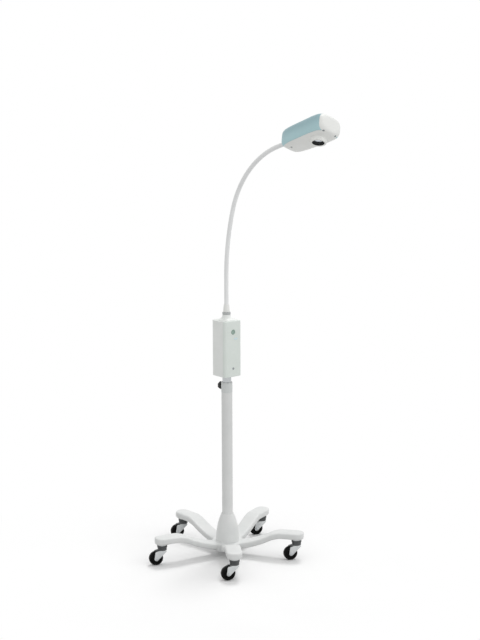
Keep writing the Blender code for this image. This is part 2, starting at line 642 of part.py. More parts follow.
def make_box(body, cap, parts, mast):
    """Box pieces, with heights given from the floor; their parent empty sits at the post's foot."""
    drop = Matrix.Translation((0, 0, -POST_FOOT))
    place = make_empty("carrier_box", (0, 0, 0))
    place.parent = mast
    place.matrix_parent_inverse = drop

    shell = make_object("box_shell", box_form(0), body, place)
    cut(shell, box_form(BOX_WALL))
    slab_cut(shell, -BOX_DEPTH, PANEL_SPLIT + GAP / 2)
    cut(shell, rod(POST_RADIUS + GAP, BOX_UNDER - CUT_MARGIN, BOX_UNDER + CUT_MARGIN, 32))
    cut(shell, rod(NECK_BORE, BOX_TOP - CUT_MARGIN, BOX_TOP + CUT_MARGIN, 24))
    inlet_spot = Matrix.Translation((0, INLET_OFFSET, 0))
    cut(shell, moved(rod(INLET_RADIUS + GAP, BOX_UNDER - CUT_MARGIN, BOX_UNDER + CUT_MARGIN, 16), inlet_spot))

    button_height = BOX_TOP - BUTTON_DROP
    screw_height = BOX_UNDER + PANEL_SCREW_RISE
    board_front = PANEL_INNER + BOARD_STANDOFF
    board_low = BOX_UNDER + BOARD_RISE
    board_high = board_low + BOARD_HEIGHT

    panel = make_object("front_panel", box_form(0), cap, place)
    cut(panel, box_form(BOX_WALL))
    slab_cut(panel, PANEL_SPLIT - GAP / 2, BOX_DEPTH)
    screw_line = panel_line(0, screw_height)
    join(panel, moved(rod(PANEL_BOSS_RADIUS, -PANEL_SCREW_LENGTH, -BOX_WALL / 2, 16), screw_line))
    for side in (-1, 1):
        for height in (board_low + STANDOFF_INSET, board_high - STANDOFF_INSET):
            line = panel_line(side * (BOARD_WIDTH / 2 - STANDOFF_INSET), height)
            join(panel, moved(rod(STANDOFF_RADIUS, -BOX_WALL - BOARD_STANDOFF + GAP, -BOX_WALL / 2, 12), line))
    cut(panel, moved(rod(BUTTON_RADIUS + GAP, -BOX_WALL - CUT_MARGIN / 4, CUT_MARGIN, 28), panel_line(0, button_height)))
    cut(panel, window_block(GAP, PANEL_FACE - CUT_MARGIN, PANEL_INNER + CUT_MARGIN / 4))
    cut(panel, moved(rod(PANEL_SCREW_RADIUS + GAP, -PANEL_SCREW_LENGTH - CUT_MARGIN, CUT_MARGIN, 12), screw_line))

    head_top = GAP + PANEL_SCREW_HEAD_HEIGHT
    screw = turned([
        (0, head_top), (PANEL_SCREW_HEAD * 0.7, head_top), (PANEL_SCREW_HEAD, head_top / 2), (PANEL_SCREW_HEAD, GAP),
        (PANEL_SCREW_RADIUS, GAP), (PANEL_SCREW_RADIUS, -PANEL_SCREW_LENGTH), (0, -PANEL_SCREW_LENGTH)], 16)
    make_object("panel_screw", moved(screw, screw_line), parts["zinc"], place)

    lip_front = PANEL_INNER + GAP
    window = make_object("indicator_window", window_block(0, PANEL_FACE - WINDOW_PROUD, lip_front + WINDOW_LIP / 2),
                         parts["window"], place)
    join(window, window_block(WINDOW_LIP, lip_front, lip_front + WINDOW_LIP))

    press_axis = make_empty("axis_power_press", (0, PANEL_FACE, button_height),
                            Matrix.Rotation(math.radians(90), 3, "X"))
    inner = -BOX_WALL - GAP
    lip = BUTTON_RADIUS + BUTTON_FLANGE_LIP
    stem_end = -(BOX_WALL + BOARD_STANDOFF) + BUTTON_TRAVEL + 2 * GAP
    button = turned([
        (0, BUTTON_PROUD), (BUTTON_RADIUS * 0.55, BUTTON_PROUD * 0.9), (BUTTON_RADIUS * 0.9, BUTTON_PROUD * 0.6),
        (BUTTON_RADIUS, 0), (BUTTON_RADIUS, inner), (lip, inner), (lip, inner - BUTTON_FLANGE),
        (BUTTON_STEM_RADIUS, inner - BUTTON_FLANGE), (BUTTON_STEM_RADIUS, stem_end), (0, stem_end)], 22)
    make_object("power_button", button, parts["button"], press_axis)

    board_back = board_front + BOARD_THICKNESS
    make_object("control_board", block((-BOARD_WIDTH / 2, board_front, board_low),
                                       (BOARD_WIDTH / 2, board_back, board_high)), parts["board"], place)
    module_low = (board_low + board_high - MODULE_HEIGHT) / 2
    make_object("power_module", block((-MODULE_WIDTH / 2, board_back + GAP, module_low),
                                      (MODULE_WIDTH / 2, board_back + GAP + MODULE_DEPTH, module_low + MODULE_HEIGHT)),
                parts["black"], place)

    flange_top = BOX_UNDER - GAP
    inlet_top = BOX_UNDER + INLET_DEPTH
    inlet = turned([
        (0, inlet_top), (INLET_RADIUS, inlet_top), (INLET_RADIUS, flange_top), (INLET_FLANGE_RADIUS, flange_top),
        (INLET_FLANGE_RADIUS, flange_top - INLET_FLANGE), (INLET_SOCKET_RADIUS, flange_top - INLET_FLANGE),
        (INLET_SOCKET_RADIUS, inlet_top - BOX_WALL), (0, inlet_top - BOX_WALL)], 16)
    make_object("power_inlet", moved(inlet, inlet_spot), parts["black"], place)

    profile = []
    for step in range(SEAT_STEPS + 1):
        share = step / SEAT_STEPS
        radius = SEAT_TOP_RADIUS + (SEAT_FOOT_RADIUS - SEAT_TOP_RADIUS) * share ** 3
        profile.append((radius, SEAT_TOP - share * (SEAT_HEIGHT - SEAT_FOOT_HEIGHT)))
    profile += [(SEAT_FOOT_RADIUS, SEAT_UNDER), (NECK_BORE, SEAT_UNDER), (NECK_BORE, SEAT_TOP)]
    make_object("neck_seat", turned(profile, 28), body, place)

    make_object("lock_ring", turned([
        (RING_RADIUS - RING_CHAMFER, RING_TOP), (RING_RADIUS, RING_TOP - RING_CHAMFER),
        (RING_RADIUS, RING_UNDER + RING_CHAMFER), (RING_RADIUS - RING_CHAMFER, RING_UNDER),
        (NECK_BORE, RING_UNDER), (NECK_BORE, RING_TOP)], 24), parts["black"], place)

    make_object("lower_ferrule", turned([
        (NECK_BORE + FERRULE_WALL, FERRULE_TOP), (FERRULE_RADIUS, FERRULE_UNDER + FERRULE_RIM_HEIGHT),
        (FERRULE_RADIUS, FERRULE_UNDER), (NECK_BORE, FERRULE_UNDER), (NECK_BORE, FERRULE_TOP)], 22), body, place)


# Gooseneck

def neck_state(distance):
    """Point on the neck's centre line and its lean from upright, at a distance along it from the ferrule."""
    point = Vector((0, 0, FERRULE_TOP))
    lean = 0.0
    rest = distance
    step = rest if rest < NECK_RISE else NECK_RISE
    point = point + UP * step
    rest -= step
    for radius, bend in ((NECK_LOWER_BEND_RADIUS, NECK_LOWER_BEND), (NECK_UPPER_BEND_RADIUS, NECK_UPPER_BEND)):
        turn = min(rest / radius, bend)
        end = lean + turn
        point = point + NECK_OUT * radius * (math.cos(lean) - math.cos(end))
        point = point + UP * radius * (math.sin(end) - math.sin(lean))
        lean = end
        rest -= turn * radius
    point = point + neck_tangent(lean) * rest
    return point, lean


def neck_tangent(lean):
    return UP * math.cos(lean) + NECK_OUT * math.sin(lean)


def neck_length():
    return (NECK_RISE + NECK_LOWER_BEND_RADIUS * NECK_LOWER_BEND + NECK_UPPER_BEND_RADIUS * NECK_UPPER_BEND
            + NECK_RUN_OUT)


def neck_pivot(number):
    """Distance of a bending pivot along the neck, counted from 1 at the box."""
    flexible = neck_length() - TOP_FERRULE_HEIGHT
    return flexible * (number - 0.5) / NECK_PIVOTS


def neck_ring(centre, lean, radius):
    """Ring of points across the neck, or one point where the radius is zero."""
    if radius < 1e-9:
        return [centre]
    inward = NECK_SIDE.cross(neck_tangent(lean))
    ring = []
    for step in range(NECK_SIDES):
        turn = math.tau * step / NECK_SIDES
        ring.append(centre + (inward * math.cos(turn) + NECK_SIDE * math.sin(turn)) * radius)
    return ring


def ball_rings(distance, radius):
    """Rings of a ball about a pivot, from its pole out to the neck's own radius."""
    pivot, lean = neck_state(distance)
    rim = math.asin(NECK_RADIUS / radius)
    rings = []
    for step in range(BALL_STEPS + 1):
        angle = rim * step / BALL_STEPS
        rings.append(neck_ring(pivot + neck_tangent(lean) * radius * math.cos(angle), lean, radius * math.sin(angle)))
    return rings


def make_neck_link(number, start, end, origin):
    """Length of neck between two pivots, with a socket at its lower end and a ball at its upper end."""
    ball = NECK_RADIUS / math.sin(BALL_RIM_ANGLE)
    socket = ball + BALL_GAP
    rings = []
    if number == 1:
        foot = Vector((0, 0, NECK_FOOT))
        rings += [neck_ring(foot, 0.0, 0.0), neck_ring(foot, 0.0, NECK_RADIUS)]
    else:
        rings += ball_rings(start, socket)
    for step in range(1, NECK_RINGS + 1):
        centre, lean = neck_state(start + (end - start) * step / (NECK_RINGS + 1))
        rings.append(neck_ring(centre, lean, NECK_RADIUS))
    if number > NECK_PIVOTS:
        centre, lean = neck_state(end)
        rings += [neck_ring(centre, lean, NECK_RADIUS), neck_ring(centre, lean, 0.0)]
    else:
        rings += reversed(ball_rings(end, ball))
    return loft([[point - origin for point in ring] for ring in rings])


def make_neck(sheath, mast, head):
    """Chain of links from the box to the head; each link hangs on the empty at its lower pivot."""
    total = neck_length() + NECK_SOCKET_DEPTH
    for number in range(1, NECK_PIVOTS + 2):
        start = 0.0 if number == 1 else neck_pivot(number - 1)
        end = total if number > NECK_PIVOTS else neck_pivot(number)
        if number == 1:
            carrier = mast
        else:
            carrier = make_empty(f"axis_neck_bend_{number - 1}", neck_state(start)[0])
        make_object(f"neck_link_{number}", make_neck_link(number, start, end, carrier.location), sheath, carrier)
    inner = NECK_BORE
    ferrule = turned([
        (TOP_FERRULE_RADIUS, -GAP), (TOP_FERRULE_RADIUS, -TOP_FERRULE_HEIGHT / 3),
        (inner + FERRULE_WALL, -TOP_FERRULE_HEIGHT), (inner, -TOP_FERRULE_HEIGHT), (inner, -GAP)], 22)
    along = Matrix.Translation((-HEAD_LENGTH / 2, 0, 0)) @ Matrix.Rotation(math.radians(90), 4, "Y")
    make_object("upper_ferrule", moved(ferrule, along), sheath, head)


# Lamp head, modelled about its centre with +X to the nose and +Z up

def head_frame():
    """Place and turn of the head: its rear face on the neck's end, its axis along the neck."""
    end, lean = neck_state(neck_length())
    nose = neck_tangent(lean)
    upright = nose.cross(NECK_SIDE)
    turn = Matrix((nose, upright.cross(nose), upright)).transposed() @ Matrix.Rotation(HEAD_ROLL, 3, "X")
    return end + nose * HEAD_LENGTH / 2, turn


def head_section(share, inset):
    """Half width and half height of the head at a share of its half length, from -1 at the rear to 1."""
    width = HEAD_REAR_WIDTH + (HEAD_FRONT_WIDTH - HEAD_REAR_WIDTH) * (share + 1) / 2
    least, power = (HEAD_NOSE_SHARE, HEAD_NOSE_POWER) if share > 0 else (HEAD_REAR_SHARE, HEAD_REAR_POWER)
    scale = least + (1 - least) * (1 - abs(share) ** power) ** (1 / power)
    return (width / 2 - inset) * scale, (HEAD_HEIGHT / 2 - inset) * scale


def head_underside(forward, across):
    """Height of the head's underside at a point of its plan."""
    half_width, half_height = head_section(forward / (HEAD_LENGTH / 2), 0)
    return -half_height * (1 - (abs(across) / half_width) ** HEAD_SECTION_POWER) ** (1 / HEAD_SECTION_POWER)


def head_form(inset):
    """Soft-edged box, wider at the nose, lofted through superellipse sections."""
    rings = []
    for station in range(HEAD_STATIONS):
        share = -math.cos(math.pi * station / (HEAD_STATIONS - 1))
        half_width, half_height = head_section(share, inset)
        ring = []
        for step in range(HEAD_SIDES):
            turn = math.tau * (step + 0.5) / HEAD_SIDES
            across = math.copysign(abs(math.cos(turn)) ** (2 / HEAD_SECTION_POWER), math.cos(turn))
            up = math.copysign(abs(math.sin(turn)) ** (2 / HEAD_SECTION_POWER), math.sin(turn))
            ring.append((share * (HEAD_LENGTH / 2 - inset), half_width * across, half_height * up))
        rings.append(ring)
    return loft(rings)


def make_head(teal, white, parts, head):
    reach = HEAD_LENGTH
    nose_plane = HEAD_LENGTH / 2 - NOSE_LENGTH
    parting = -PARTING_DROP
    under = -HEAD_HEIGHT / 2
    neck_hole = moved(rod(NECK_BORE, -reach, -reach / 4, 24), Matrix.Rotation(math.radians(90), 4, "Y"))

    upper = make_object("upper_cover", head_form(0), teal, head)
    cut(upper, head_form(HEAD_WALL))
    cut(upper, block((-reach, -reach, -reach), (reach, reach, parting + GAP / 2)))
    cut(upper, block((nose_plane - GAP / 2, -reach, -reach), (reach, reach, reach)))
    cut(upper, neck_hole)

    mouth = under - COLLAR_REACH
    flange_seat = mouth + COLLAR_REACH + COLLAR_INSIDE
    lens_spot = Matrix.Translation((LENS_FROM_CENTRE, 0, 0))
    lower = make_object("lower_cover", head_form(0), white, head)
    cut(lower, head_form(HEAD_WALL))
    cut(lower, block((-reach, -reach, parting - GAP / 2), (nose_plane + GAP / 2, reach, reach)))
    join(lower, moved(rod(COLLAR_RADIUS, mouth, flange_seat, 30), lens_spot))
    cut(lower, moved(rod(BARREL_OUTER_RADIUS + GAP, mouth - CUT_MARGIN, flange_seat + CUT_MARGIN, 30), lens_spot))

    screw_forward = HEAD_LENGTH / 2 - COVER_SCREW_FROM_NOSE
    screw_seat = head_underside(screw_forward, COVER_SCREW_SPREAD) + COVER_SCREW_SEAT
    for name, side in (("cover_screw_left", 1), ("cover_screw_right", -1)):
        spot = Matrix.Translation((screw_forward, side * COVER_SCREW_SPREAD, 0))
        cut(lower, moved(rod(COVER_SCREW_HEAD + GAP, under - CUT_MARGIN, screw_seat, 16), spot))
        cut(lower, moved(rod(COVER_SCREW_RADIUS + GAP, under - CUT_MARGIN, under + CUT_MARGIN, 12), spot))
        face = screw_seat - GAP
        low = face - COVER_SCREW_HEAD_HEIGHT
        screw = turned([
            (0, face + COVER_SCREW_LENGTH), (COVER_SCREW_RADIUS, face + COVER_SCREW_LENGTH), (COVER_SCREW_RADIUS, face),
            (COVER_SCREW_HEAD, face), (COVER_SCREW_HEAD, low), (0, low)], 14)
        make_object(name, moved(screw, spot), parts["zinc"], head)

    lip = mouth + LENS_RECESS
    barrel_low = mouth + GAP
    flange_low = flange_seat + GAP
    flange_top = flange_low + BARREL_FLANGE
    barrel = turned([
        (COLLAR_RADIUS, flange_top), (COLLAR_RADIUS, flange_low), (BARREL_OUTER_RADIUS, flange_low),
        (BARREL_OUTER_RADIUS, barrel_low), (BARREL_MOUTH_RADIUS, barrel_low), (BARREL_LIP_RADIUS, lip),
        (BARREL_BORE_RADIUS, lip), (BARREL_BORE_RADIUS, flange_top)], 30)
    make_object("lens_barrel", moved(barrel, lens_spot), parts["black"], head)

    lens_radius = BARREL_BORE_RADIUS - GAP
    lens_low = lip + GAP
    lens_high = lens_low + LENS_THICKNESS
    lens = turned([
        (0, lens_high), (lens_radius, lens_high), (lens_radius, lens_low), (BARREL_LIP_RADIUS - GAP, lens_low),
        (BARREL_LIP_RADIUS * 0.6, lens_low - LENS_DOME * 0.65), (0, lens_low - LENS_DOME)], 24)
    make_object("lens", moved(lens, lens_spot), parts["glass"], head)

    led_top = flange_top
    led_low = led_top - LED_THICKNESS
    cup_low = lens_high + GAP
    cup_high = led_low - GAP
    throat = REFLECTOR_THROAT_RADIUS
    reflector = turned([
        (LED_RADIUS, cup_high), (lens_radius, cup_low + REFLECTOR_WALL), (lens_radius, cup_low),
        (lens_radius - REFLECTOR_WALL, cup_low), (throat, cup_high)], 24)
    make_object("reflector", moved(reflector, lens_spot), parts["bright"], head)
    make_object("led_module", moved(rod(LED_RADIUS, led_low, led_top, 24), lens_spot), parts["board"], head)

    sink_low = flange_top + GAP
    sink = make_object("heat_sink", moved(rod(COLLAR_RADIUS, sink_low, sink_low + SINK_BASE, 24), lens_spot),
                       parts["aluminium"], head)
    pitch = 2 * COLLAR_RADIUS / (SINK_FINS + 1)
    for fin in range(SINK_FINS):
        offset = pitch * (fin + 1) - COLLAR_RADIUS
        span = math.sqrt(COLLAR_RADIUS ** 2 - offset ** 2) - SINK_FIN_THICKNESS
        join(sink, block(
            (LENS_FROM_CENTRE - span, offset - SINK_FIN_THICKNESS / 2, sink_low + SINK_BASE / 2),
            (LENS_FROM_CENTRE + span, offset + SINK_FIN_THICKNESS / 2, sink_low + SINK_BASE + SINK_FIN_HEIGHT)))


def main():
    clear_scene()
    white = make_material("white_paint", (0.80, 0.81, 0.79), 0.35)
    grey = make_material("warm_grey_paint", (0.70, 0.71, 0.70), 0.40)
    panel = make_material("panel_plastic", (0.72, 0.76, 0.73), 0.45)
    sheath = make_material("neck_sheath", (0.66, 0.67, 0.67), 0.45)
    teal = make_material("teal_plastic", (0.28, 0.46, 0.50), 0.35)
    black = make_material("black_plastic", (0.02, 0.02, 0.02), 0.50)
    nylon = make_material("nylon", (0.30, 0.31, 0.31), 0.55)
    zinc = make_material("zinc", (0.62, 0.63, 0.64), 0.30, 1.0)
    parts = {
        "zinc": zinc,
        "black": black,
        "window": make_material("window_blue", (0.45, 0.66, 0.72), 0.25),
        "button": make_material("button_grey", (0.34, 0.42, 0.40), 0.45),
        "board": make_material("board_green", (0.05, 0.22, 0.12), 0.50),
        "glass": make_material("lens_glass", (0.85, 0.90, 0.92), 0.05),
        "bright": make_material("reflector_metal", (0.85, 0.85, 0.86), 0.12, 1.0),
        "aluminium": make_material("sink_aluminium", (0.72, 0.73, 0.74), 0.40, 1.0),
    }

    make_base(white, zinc)
    for index in range(LEG_COUNT):
        make_crown(f"caster_crown_{index + 1}", caster_spot(index), black)
        make_caster(index + 1, caster_spot(index), zinc, black)
    make_pole(grey, zinc, nylon, black)
    mast = bpy.data.objects["axis_mast_swivel"]
    make_box(white, panel, parts, mast)

    place, turn = head_frame()
    head = make_empty("carrier_head", place, turn)
    make_neck(sheath, mast, head)
    make_head(teal, white, parts, head)


main()
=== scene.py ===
"""Looks of the mobile examination lamp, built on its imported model."""
import json
from math import copysign, cos, pi, radians, sin, tau

import bmesh
import bpy
from mathutils import Matrix, Vector

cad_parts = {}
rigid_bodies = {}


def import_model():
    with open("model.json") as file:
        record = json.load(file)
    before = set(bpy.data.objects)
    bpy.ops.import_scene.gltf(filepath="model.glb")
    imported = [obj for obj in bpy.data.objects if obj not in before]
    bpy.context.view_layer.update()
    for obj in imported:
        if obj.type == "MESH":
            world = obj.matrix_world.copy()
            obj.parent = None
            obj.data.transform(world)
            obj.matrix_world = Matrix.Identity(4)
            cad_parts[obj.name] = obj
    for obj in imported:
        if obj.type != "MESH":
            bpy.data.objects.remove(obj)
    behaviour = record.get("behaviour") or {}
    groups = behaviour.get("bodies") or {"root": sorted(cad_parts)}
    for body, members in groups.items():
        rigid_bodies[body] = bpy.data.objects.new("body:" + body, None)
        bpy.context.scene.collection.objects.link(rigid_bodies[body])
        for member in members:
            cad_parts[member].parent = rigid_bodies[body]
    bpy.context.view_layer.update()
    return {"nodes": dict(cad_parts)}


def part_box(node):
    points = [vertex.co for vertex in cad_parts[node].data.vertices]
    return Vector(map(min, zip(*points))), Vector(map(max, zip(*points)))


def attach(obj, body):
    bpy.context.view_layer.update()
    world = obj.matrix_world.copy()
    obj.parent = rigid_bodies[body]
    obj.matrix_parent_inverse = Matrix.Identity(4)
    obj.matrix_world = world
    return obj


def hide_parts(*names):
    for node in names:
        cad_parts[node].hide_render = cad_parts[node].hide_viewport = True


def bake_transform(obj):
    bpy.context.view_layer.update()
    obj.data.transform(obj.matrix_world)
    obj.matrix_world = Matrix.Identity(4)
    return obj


# Sizes are in metres; those that the part also has keep its values
GAP = 0.0003
EDGE_EASE = 0.0004
CUT_REACH = 0.01

# Base casting
STAR_VOXEL = 0.0012
STAR_MELT_FACTOR = 0.5
STAR_MELT_STEPS = 34
STAR_FACES_KEPT = 0.2
HUB_TOP = 0.05289

# Wheels and axles; the wheel's side runs from bore to tread as (radius, half width)
CASTER_COUNT = 5
TRAIL_AZIMUTH = radians(156.5)
TRAIL = 0.0225
WHEEL_CENTRE = 0.02479
WHEEL_RADIUS = WHEEL_CENTRE
WHEEL_HALF = 0.01
AXLE_RADIUS = 0.003
AXLE_HEAD_RADIUS = 0.0052
AXLE_HEAD_HEIGHT = 0.0018
AXLE_HEAD_RIM = 0.0005
AXLE_HEAD_FLAT = AXLE_HEAD_RADIUS - 0.0016
WHEEL_SIDE = (
    (AXLE_RADIUS + GAP, WHEEL_HALF), (0.0066, WHEEL_HALF), (0.0078, 0.0068), (0.0164, 0.0062),
    (0.0174, 0.009), (0.0184, 0.0097), (0.0206, 0.0097), (WHEEL_RADIUS - 0.0016, 0.0083),
    (WHEEL_RADIUS - 0.0004, 0.0056), (WHEEL_RADIUS, 0.002),
)
RIB_COUNT = 6
RIB_LOW = (0.0068, -0.0007, 0.005)
RIB_HIGH = (0.0172, 0.0007, 0.008)

# Caster forks and crowns; outlines are (radius, height)
FORK_INNER = 0.0114
FORK_OUTER = 0.0139
FORK_CORNER = 0.004
FORK_EASE = 0.0007
FORK_EYE_RADIUS = 0.0075
FORK_EYE_ARC = [radians(215 + 150 * step / 12) for step in range(13)]
FORK_PLATE_RADIUS = 0.016
FORK_PLATE_UNDER = 0.05829
FORK_PLATE_TOP = 0.06229
HOOD_UNDER = 0.0528
HOOD_INNER = FORK_PLATE_RADIUS - 0.0012
HOOD_OUTLINE = (
    (0, FORK_PLATE_TOP), (HOOD_INNER, FORK_PLATE_TOP), (FORK_PLATE_RADIUS, FORK_PLATE_TOP - 0.0012),
    (FORK_PLATE_RADIUS, HOOD_UNDER), (HOOD_INNER, HOOD_UNDER), (FORK_PLATE_RADIUS - 0.0016, FORK_PLATE_UNDER),
    (0, FORK_PLATE_UNDER),
)
FORK_TAB = FORK_PLATE_RADIUS * 0.45
FORK_TAB_TOP = FORK_PLATE_UNDER + 0.002
SHOULDER = FORK_PLATE_RADIUS * 0.8
SHOULDER_TOP = HOOD_UNDER - 0.001
SHOULDER_FOOT = HOOD_UNDER - 0.004
REAR_SHOULDER = SHOULDER + 0.002
REAR_CORNER = (TRAIL + 0.004, FORK_PLATE_UNDER - 0.009)
CROWN_RADIUS = 0.0175
CROWN_UNDER = 0.06259
CROWN_TOP = 0.07459
CROWN_SPLIT = CROWN_TOP - 0.0042
CROWN_SEAT_RADIUS = CROWN_RADIUS - 0.0012
CAP_OUTLINE = (
    (0, CROWN_SPLIT), (CROWN_RADIUS, CROWN_SPLIT), (CROWN_RADIUS, CROWN_UNDER + 0.0042),
    (CROWN_RADIUS - 0.0006, CROWN_UNDER + 0.0036), (CROWN_RADIUS, CROWN_UNDER + 0.003),
    (CROWN_RADIUS, CROWN_UNDER), (0, CROWN_UNDER),
)

# Pole
CONE_FOOT = HUB_TOP + GAP
CONE_FOOT_RADIUS = 0.0405
CONE_TOP_RADIUS = 0.0215
CONE_HEIGHT = 0.1
CONE_RIM = 0.004
CONE_FULLNESS = 2.15
CONE_SINK = 0.0012
CONE_STEPS = 24
TUBE_RADIUS = 0.019
TUBE_BORE = 0.0174
TUBE_FOOT = 0.03319
TUBE_TOP = 0.62519
SLEEVE_RADIUS = TUBE_RADIUS + 0.0006
SLEEVE_BORE = TUBE_RADIUS - 0.0004
SLEEVE_FOOT = TUBE_TOP - 0.034
SLEEVE_OUTLINE = (
    (SLEEVE_RADIUS, TUBE_TOP), (SLEEVE_RADIUS, SLEEVE_FOOT + 0.0006), (TUBE_RADIUS, SLEEVE_FOOT),
    (SLEEVE_BORE, SLEEVE_FOOT), (SLEEVE_BORE, TUBE_TOP),
)
BUSH_TOP = 0.62749
BUSH_FOOT = TUBE_TOP - 0.008
POST_RADIUS = 0.0155
POST_BORE = POST_RADIUS - 0.002
POST_FOOT = 0.15519
POST_IN_BOX = 0.04

# Clamp; the knob's stations are (share of its thickness, how far the rim is drawn in)
CLAMP_HEIGHT = 0.61019
BOSS_RADIUS = 0.008
BOSS_ROOT = TUBE_RADIUS - 0.0015
BOSS_END = 0.023
CLAMP_SCREW_BORE = 0.0033
CLAMP_PAD_BORE = 0.0039
CLAMP_PAD_STOP = 0.0203
BOSS_OUTLINE = (
    (BOSS_RADIUS + 0.0015, BOSS_ROOT), (BOSS_RADIUS, TUBE_RADIUS + 0.0012), (BOSS_RADIUS, BOSS_END),
    (CLAMP_SCREW_BORE, BOSS_END), (CLAMP_SCREW_BORE, CLAMP_PAD_STOP), (CLAMP_PAD_BORE, CLAMP_PAD_STOP),
    (CLAMP_PAD_BORE, BOSS_ROOT),
)
KNOB_NEAR = 0.0245
KNOB_RADIUS = 0.014
KNOB_THICKNESS = 0.0135
KNOB_LOBES = 7
KNOB_LOBE_DEPTH = 0.0013
KNOB_LOBE_FADE = 0.006
KNOB_LOBE_POWER = 1.6
KNOB_LOBE_STEPS = 16
KNOB_STATIONS = (
    (0, 0.005), (0.03, 0.003), (0.11, 0.0012), (0.23, 0.0003), (0.35, 0), (0.65, 0), (0.79, 0.0004),
    (0.91, 0.0015), (0.98, 0.0033), (1, 0.0052), (0.98, 0.0064), (0.967, 0.0072), (0.98, 0.008),
    (0.993, 0.0088),
)

# Control box; the outlines of the button and its bezel are (radius, height over the panel)
BOX_WIDTH = 0.074
BOX_DEPTH = 0.074
BOX_UNDER = 0.65119
BOX_TOP = 0.84649
BOX_CORNER = 0.01
BOX_EDGE = 0.0018
BOX_EDGE_STEPS = 5
BOX_WALL = 0.0028
BOX_GUARD = 0.0008
BOX_SEAM = 0.0003
BOX_CREASE = 20
PANEL_FACE = -0.037
PANEL_SPLIT = -0.027
BUTTON_RADIUS = 0.0082
BUTTON_HEIGHT = 0.80849
BUTTON_OUTLINE = (
    (0, 0.0005), (0.003, 0.0007), (0.0058, 0.0012), (0.007, 0.0014), (BUTTON_RADIUS, 0.0006),
    (BUTTON_RADIUS, -0.006), (0, -0.006),
)
BEZEL_BORE = BUTTON_RADIUS + 0.0004
BEZEL_OUTLINE = (
    (BEZEL_BORE, -0.001), (BEZEL_BORE, 0.0005), (BUTTON_RADIUS + 0.0014, 0.0005),
    (BUTTON_RADIUS + 0.0017, -0.001),
)
WINDOW_X = 0.011
WINDOW_Z = 0.78449
WINDOW_WIDTH = 0.016
WINDOW_HEIGHT = 0.006
WINDOW_CORNER = 0.0016
WINDOW_PROUD = 0.0004
WINDOW_DEPTH = 0.004
WINDOW_EASE = 0.0003
PANEL_SCREW_Z = 0.68049
PANEL_SCREW_RADIUS = 0.0042
PANEL_SCREW_HEIGHT = 0.0017

# Foot of the neck; the lock ring's stations are (height, how far the rim is drawn in)
SEAT_UNDER = 0.84679
SEAT_TOP = 0.86579
FLARE_TOP_RADIUS = 0.0142
FLARE_FOOT_RADIUS = 0.03
FLARE_DROP = 0.018
FLARE_POWER = 3
FLARE_STEPS = 16
RING_UNDER = 0.86609
RING_RADIUS = 0.0143
RING_TEETH = 44
RING_TOOTH_STEPS = 4
RING_TOOTH_DEPTH = 0.00035
RING_TOOTH_LOW = 0.001
RING_TOOTH_HIGH = 0.007
RING_STATIONS = (
    (0, 0.0012), (0.0005, 0.0003), (0.0012, 0), (0.0068, 0), (0.0075, 0.0003), (0.008, 0.0012),
    (0.008, 0.006), (0, 0.006),
)
FERRULE_UNDER = 0.87439
FERRULE_TOP = 0.90039
FERRULE_RADIUS = 0.011
NECK_BORE = 0.0078
FERRULE_OUTLINE = (
    (0.009, FERRULE_TOP), (FERRULE_RADIUS, FERRULE_UNDER + 0.009), (FERRULE_RADIUS, FERRULE_UNDER),
    (NECK_BORE, FERRULE_UNDER), (NECK_BORE, FERRULE_TOP),
)

# Gooseneck, along a rise, two bends as (radius, angle) and a straight tail
NECK_RADIUS = 0.0075
NECK_SIDES = 32
NECK_JOINTS = 7
NECK_AZIMUTH = radians(-85.5)
NECK_OUT = Vector((cos(NECK_AZIMUTH), sin(NECK_AZIMUTH), 0))
NECK_SIDE = Vector((0, 0, 1)).cross(NECK_OUT)
NECK_RISE = 0.089
NECK_BENDS = ((0.845, radians(16.3)), (0.3285, radians(56.4)))
NECK_TAIL = 0.053
NECK_LENGTH = NECK_RISE + sum(radius * bend for radius, bend in NECK_BENDS) + NECK_TAIL
NECK_IN_FERRULE = 0.02
NECK_IN_HEAD = 0.01
COIL_PITCH = 0.0032
COIL_DEPTH = 0.00022
COIL_STEPS = 6
GLAND_LENGTH = 0.022
GLAND_RADIUS = 0.0105
GLAND_OUTLINE = (
    (GLAND_RADIUS, -GAP), (GLAND_RADIUS, -0.0075), (0.009, -GLAND_LENGTH), (NECK_BORE, -GLAND_LENGTH),
    (NECK_BORE, -GAP),
)

# Lamp head; each rounding is (share of the section left at the end, power of the curve)
HEAD_ROLL = radians(-22.7)
HEAD_LENGTH = 0.195
HEAD_FRONT_WIDTH = 0.102
HEAD_REAR_WIDTH = 0.085
HEAD_HEIGHT = 0.0675
HEAD_WALL = 0.0025
HEAD_SEAM = 0.00025
HEAD_SQUARENESS = 4
HEAD_STATIONS = 56
HEAD_SIDES = 112
REAR_ROUNDING = (0.62, 3.6)
NOSE_ROUNDING = (0.36, 4.4)
NOSE_START = 0.8
NOSE_SOFTNESS = 1.6
NOSE_POWER = 1.5
BROW_RISE = 0.0032
BROW_POWER = 8
PARTING = -0.027
NOSE_PLANE = HEAD_LENGTH / 2 - 0.011
UNDERSIDE = -HEAD_HEIGHT / 2
SCREW_SPOTS = ((0.0895, 0.0252), (0.0895, -0.0252), (-0.0685, -0.0136))
SCREW_NODES = (("cover_screw_left",), ("cover_screw_right",), ())
SCREW_RADIUS = 0.0034
SCREW_HEIGHT = 0.0016
SCREW_SINK = 0.0012
SCREW_CLEARANCE = 0.0006

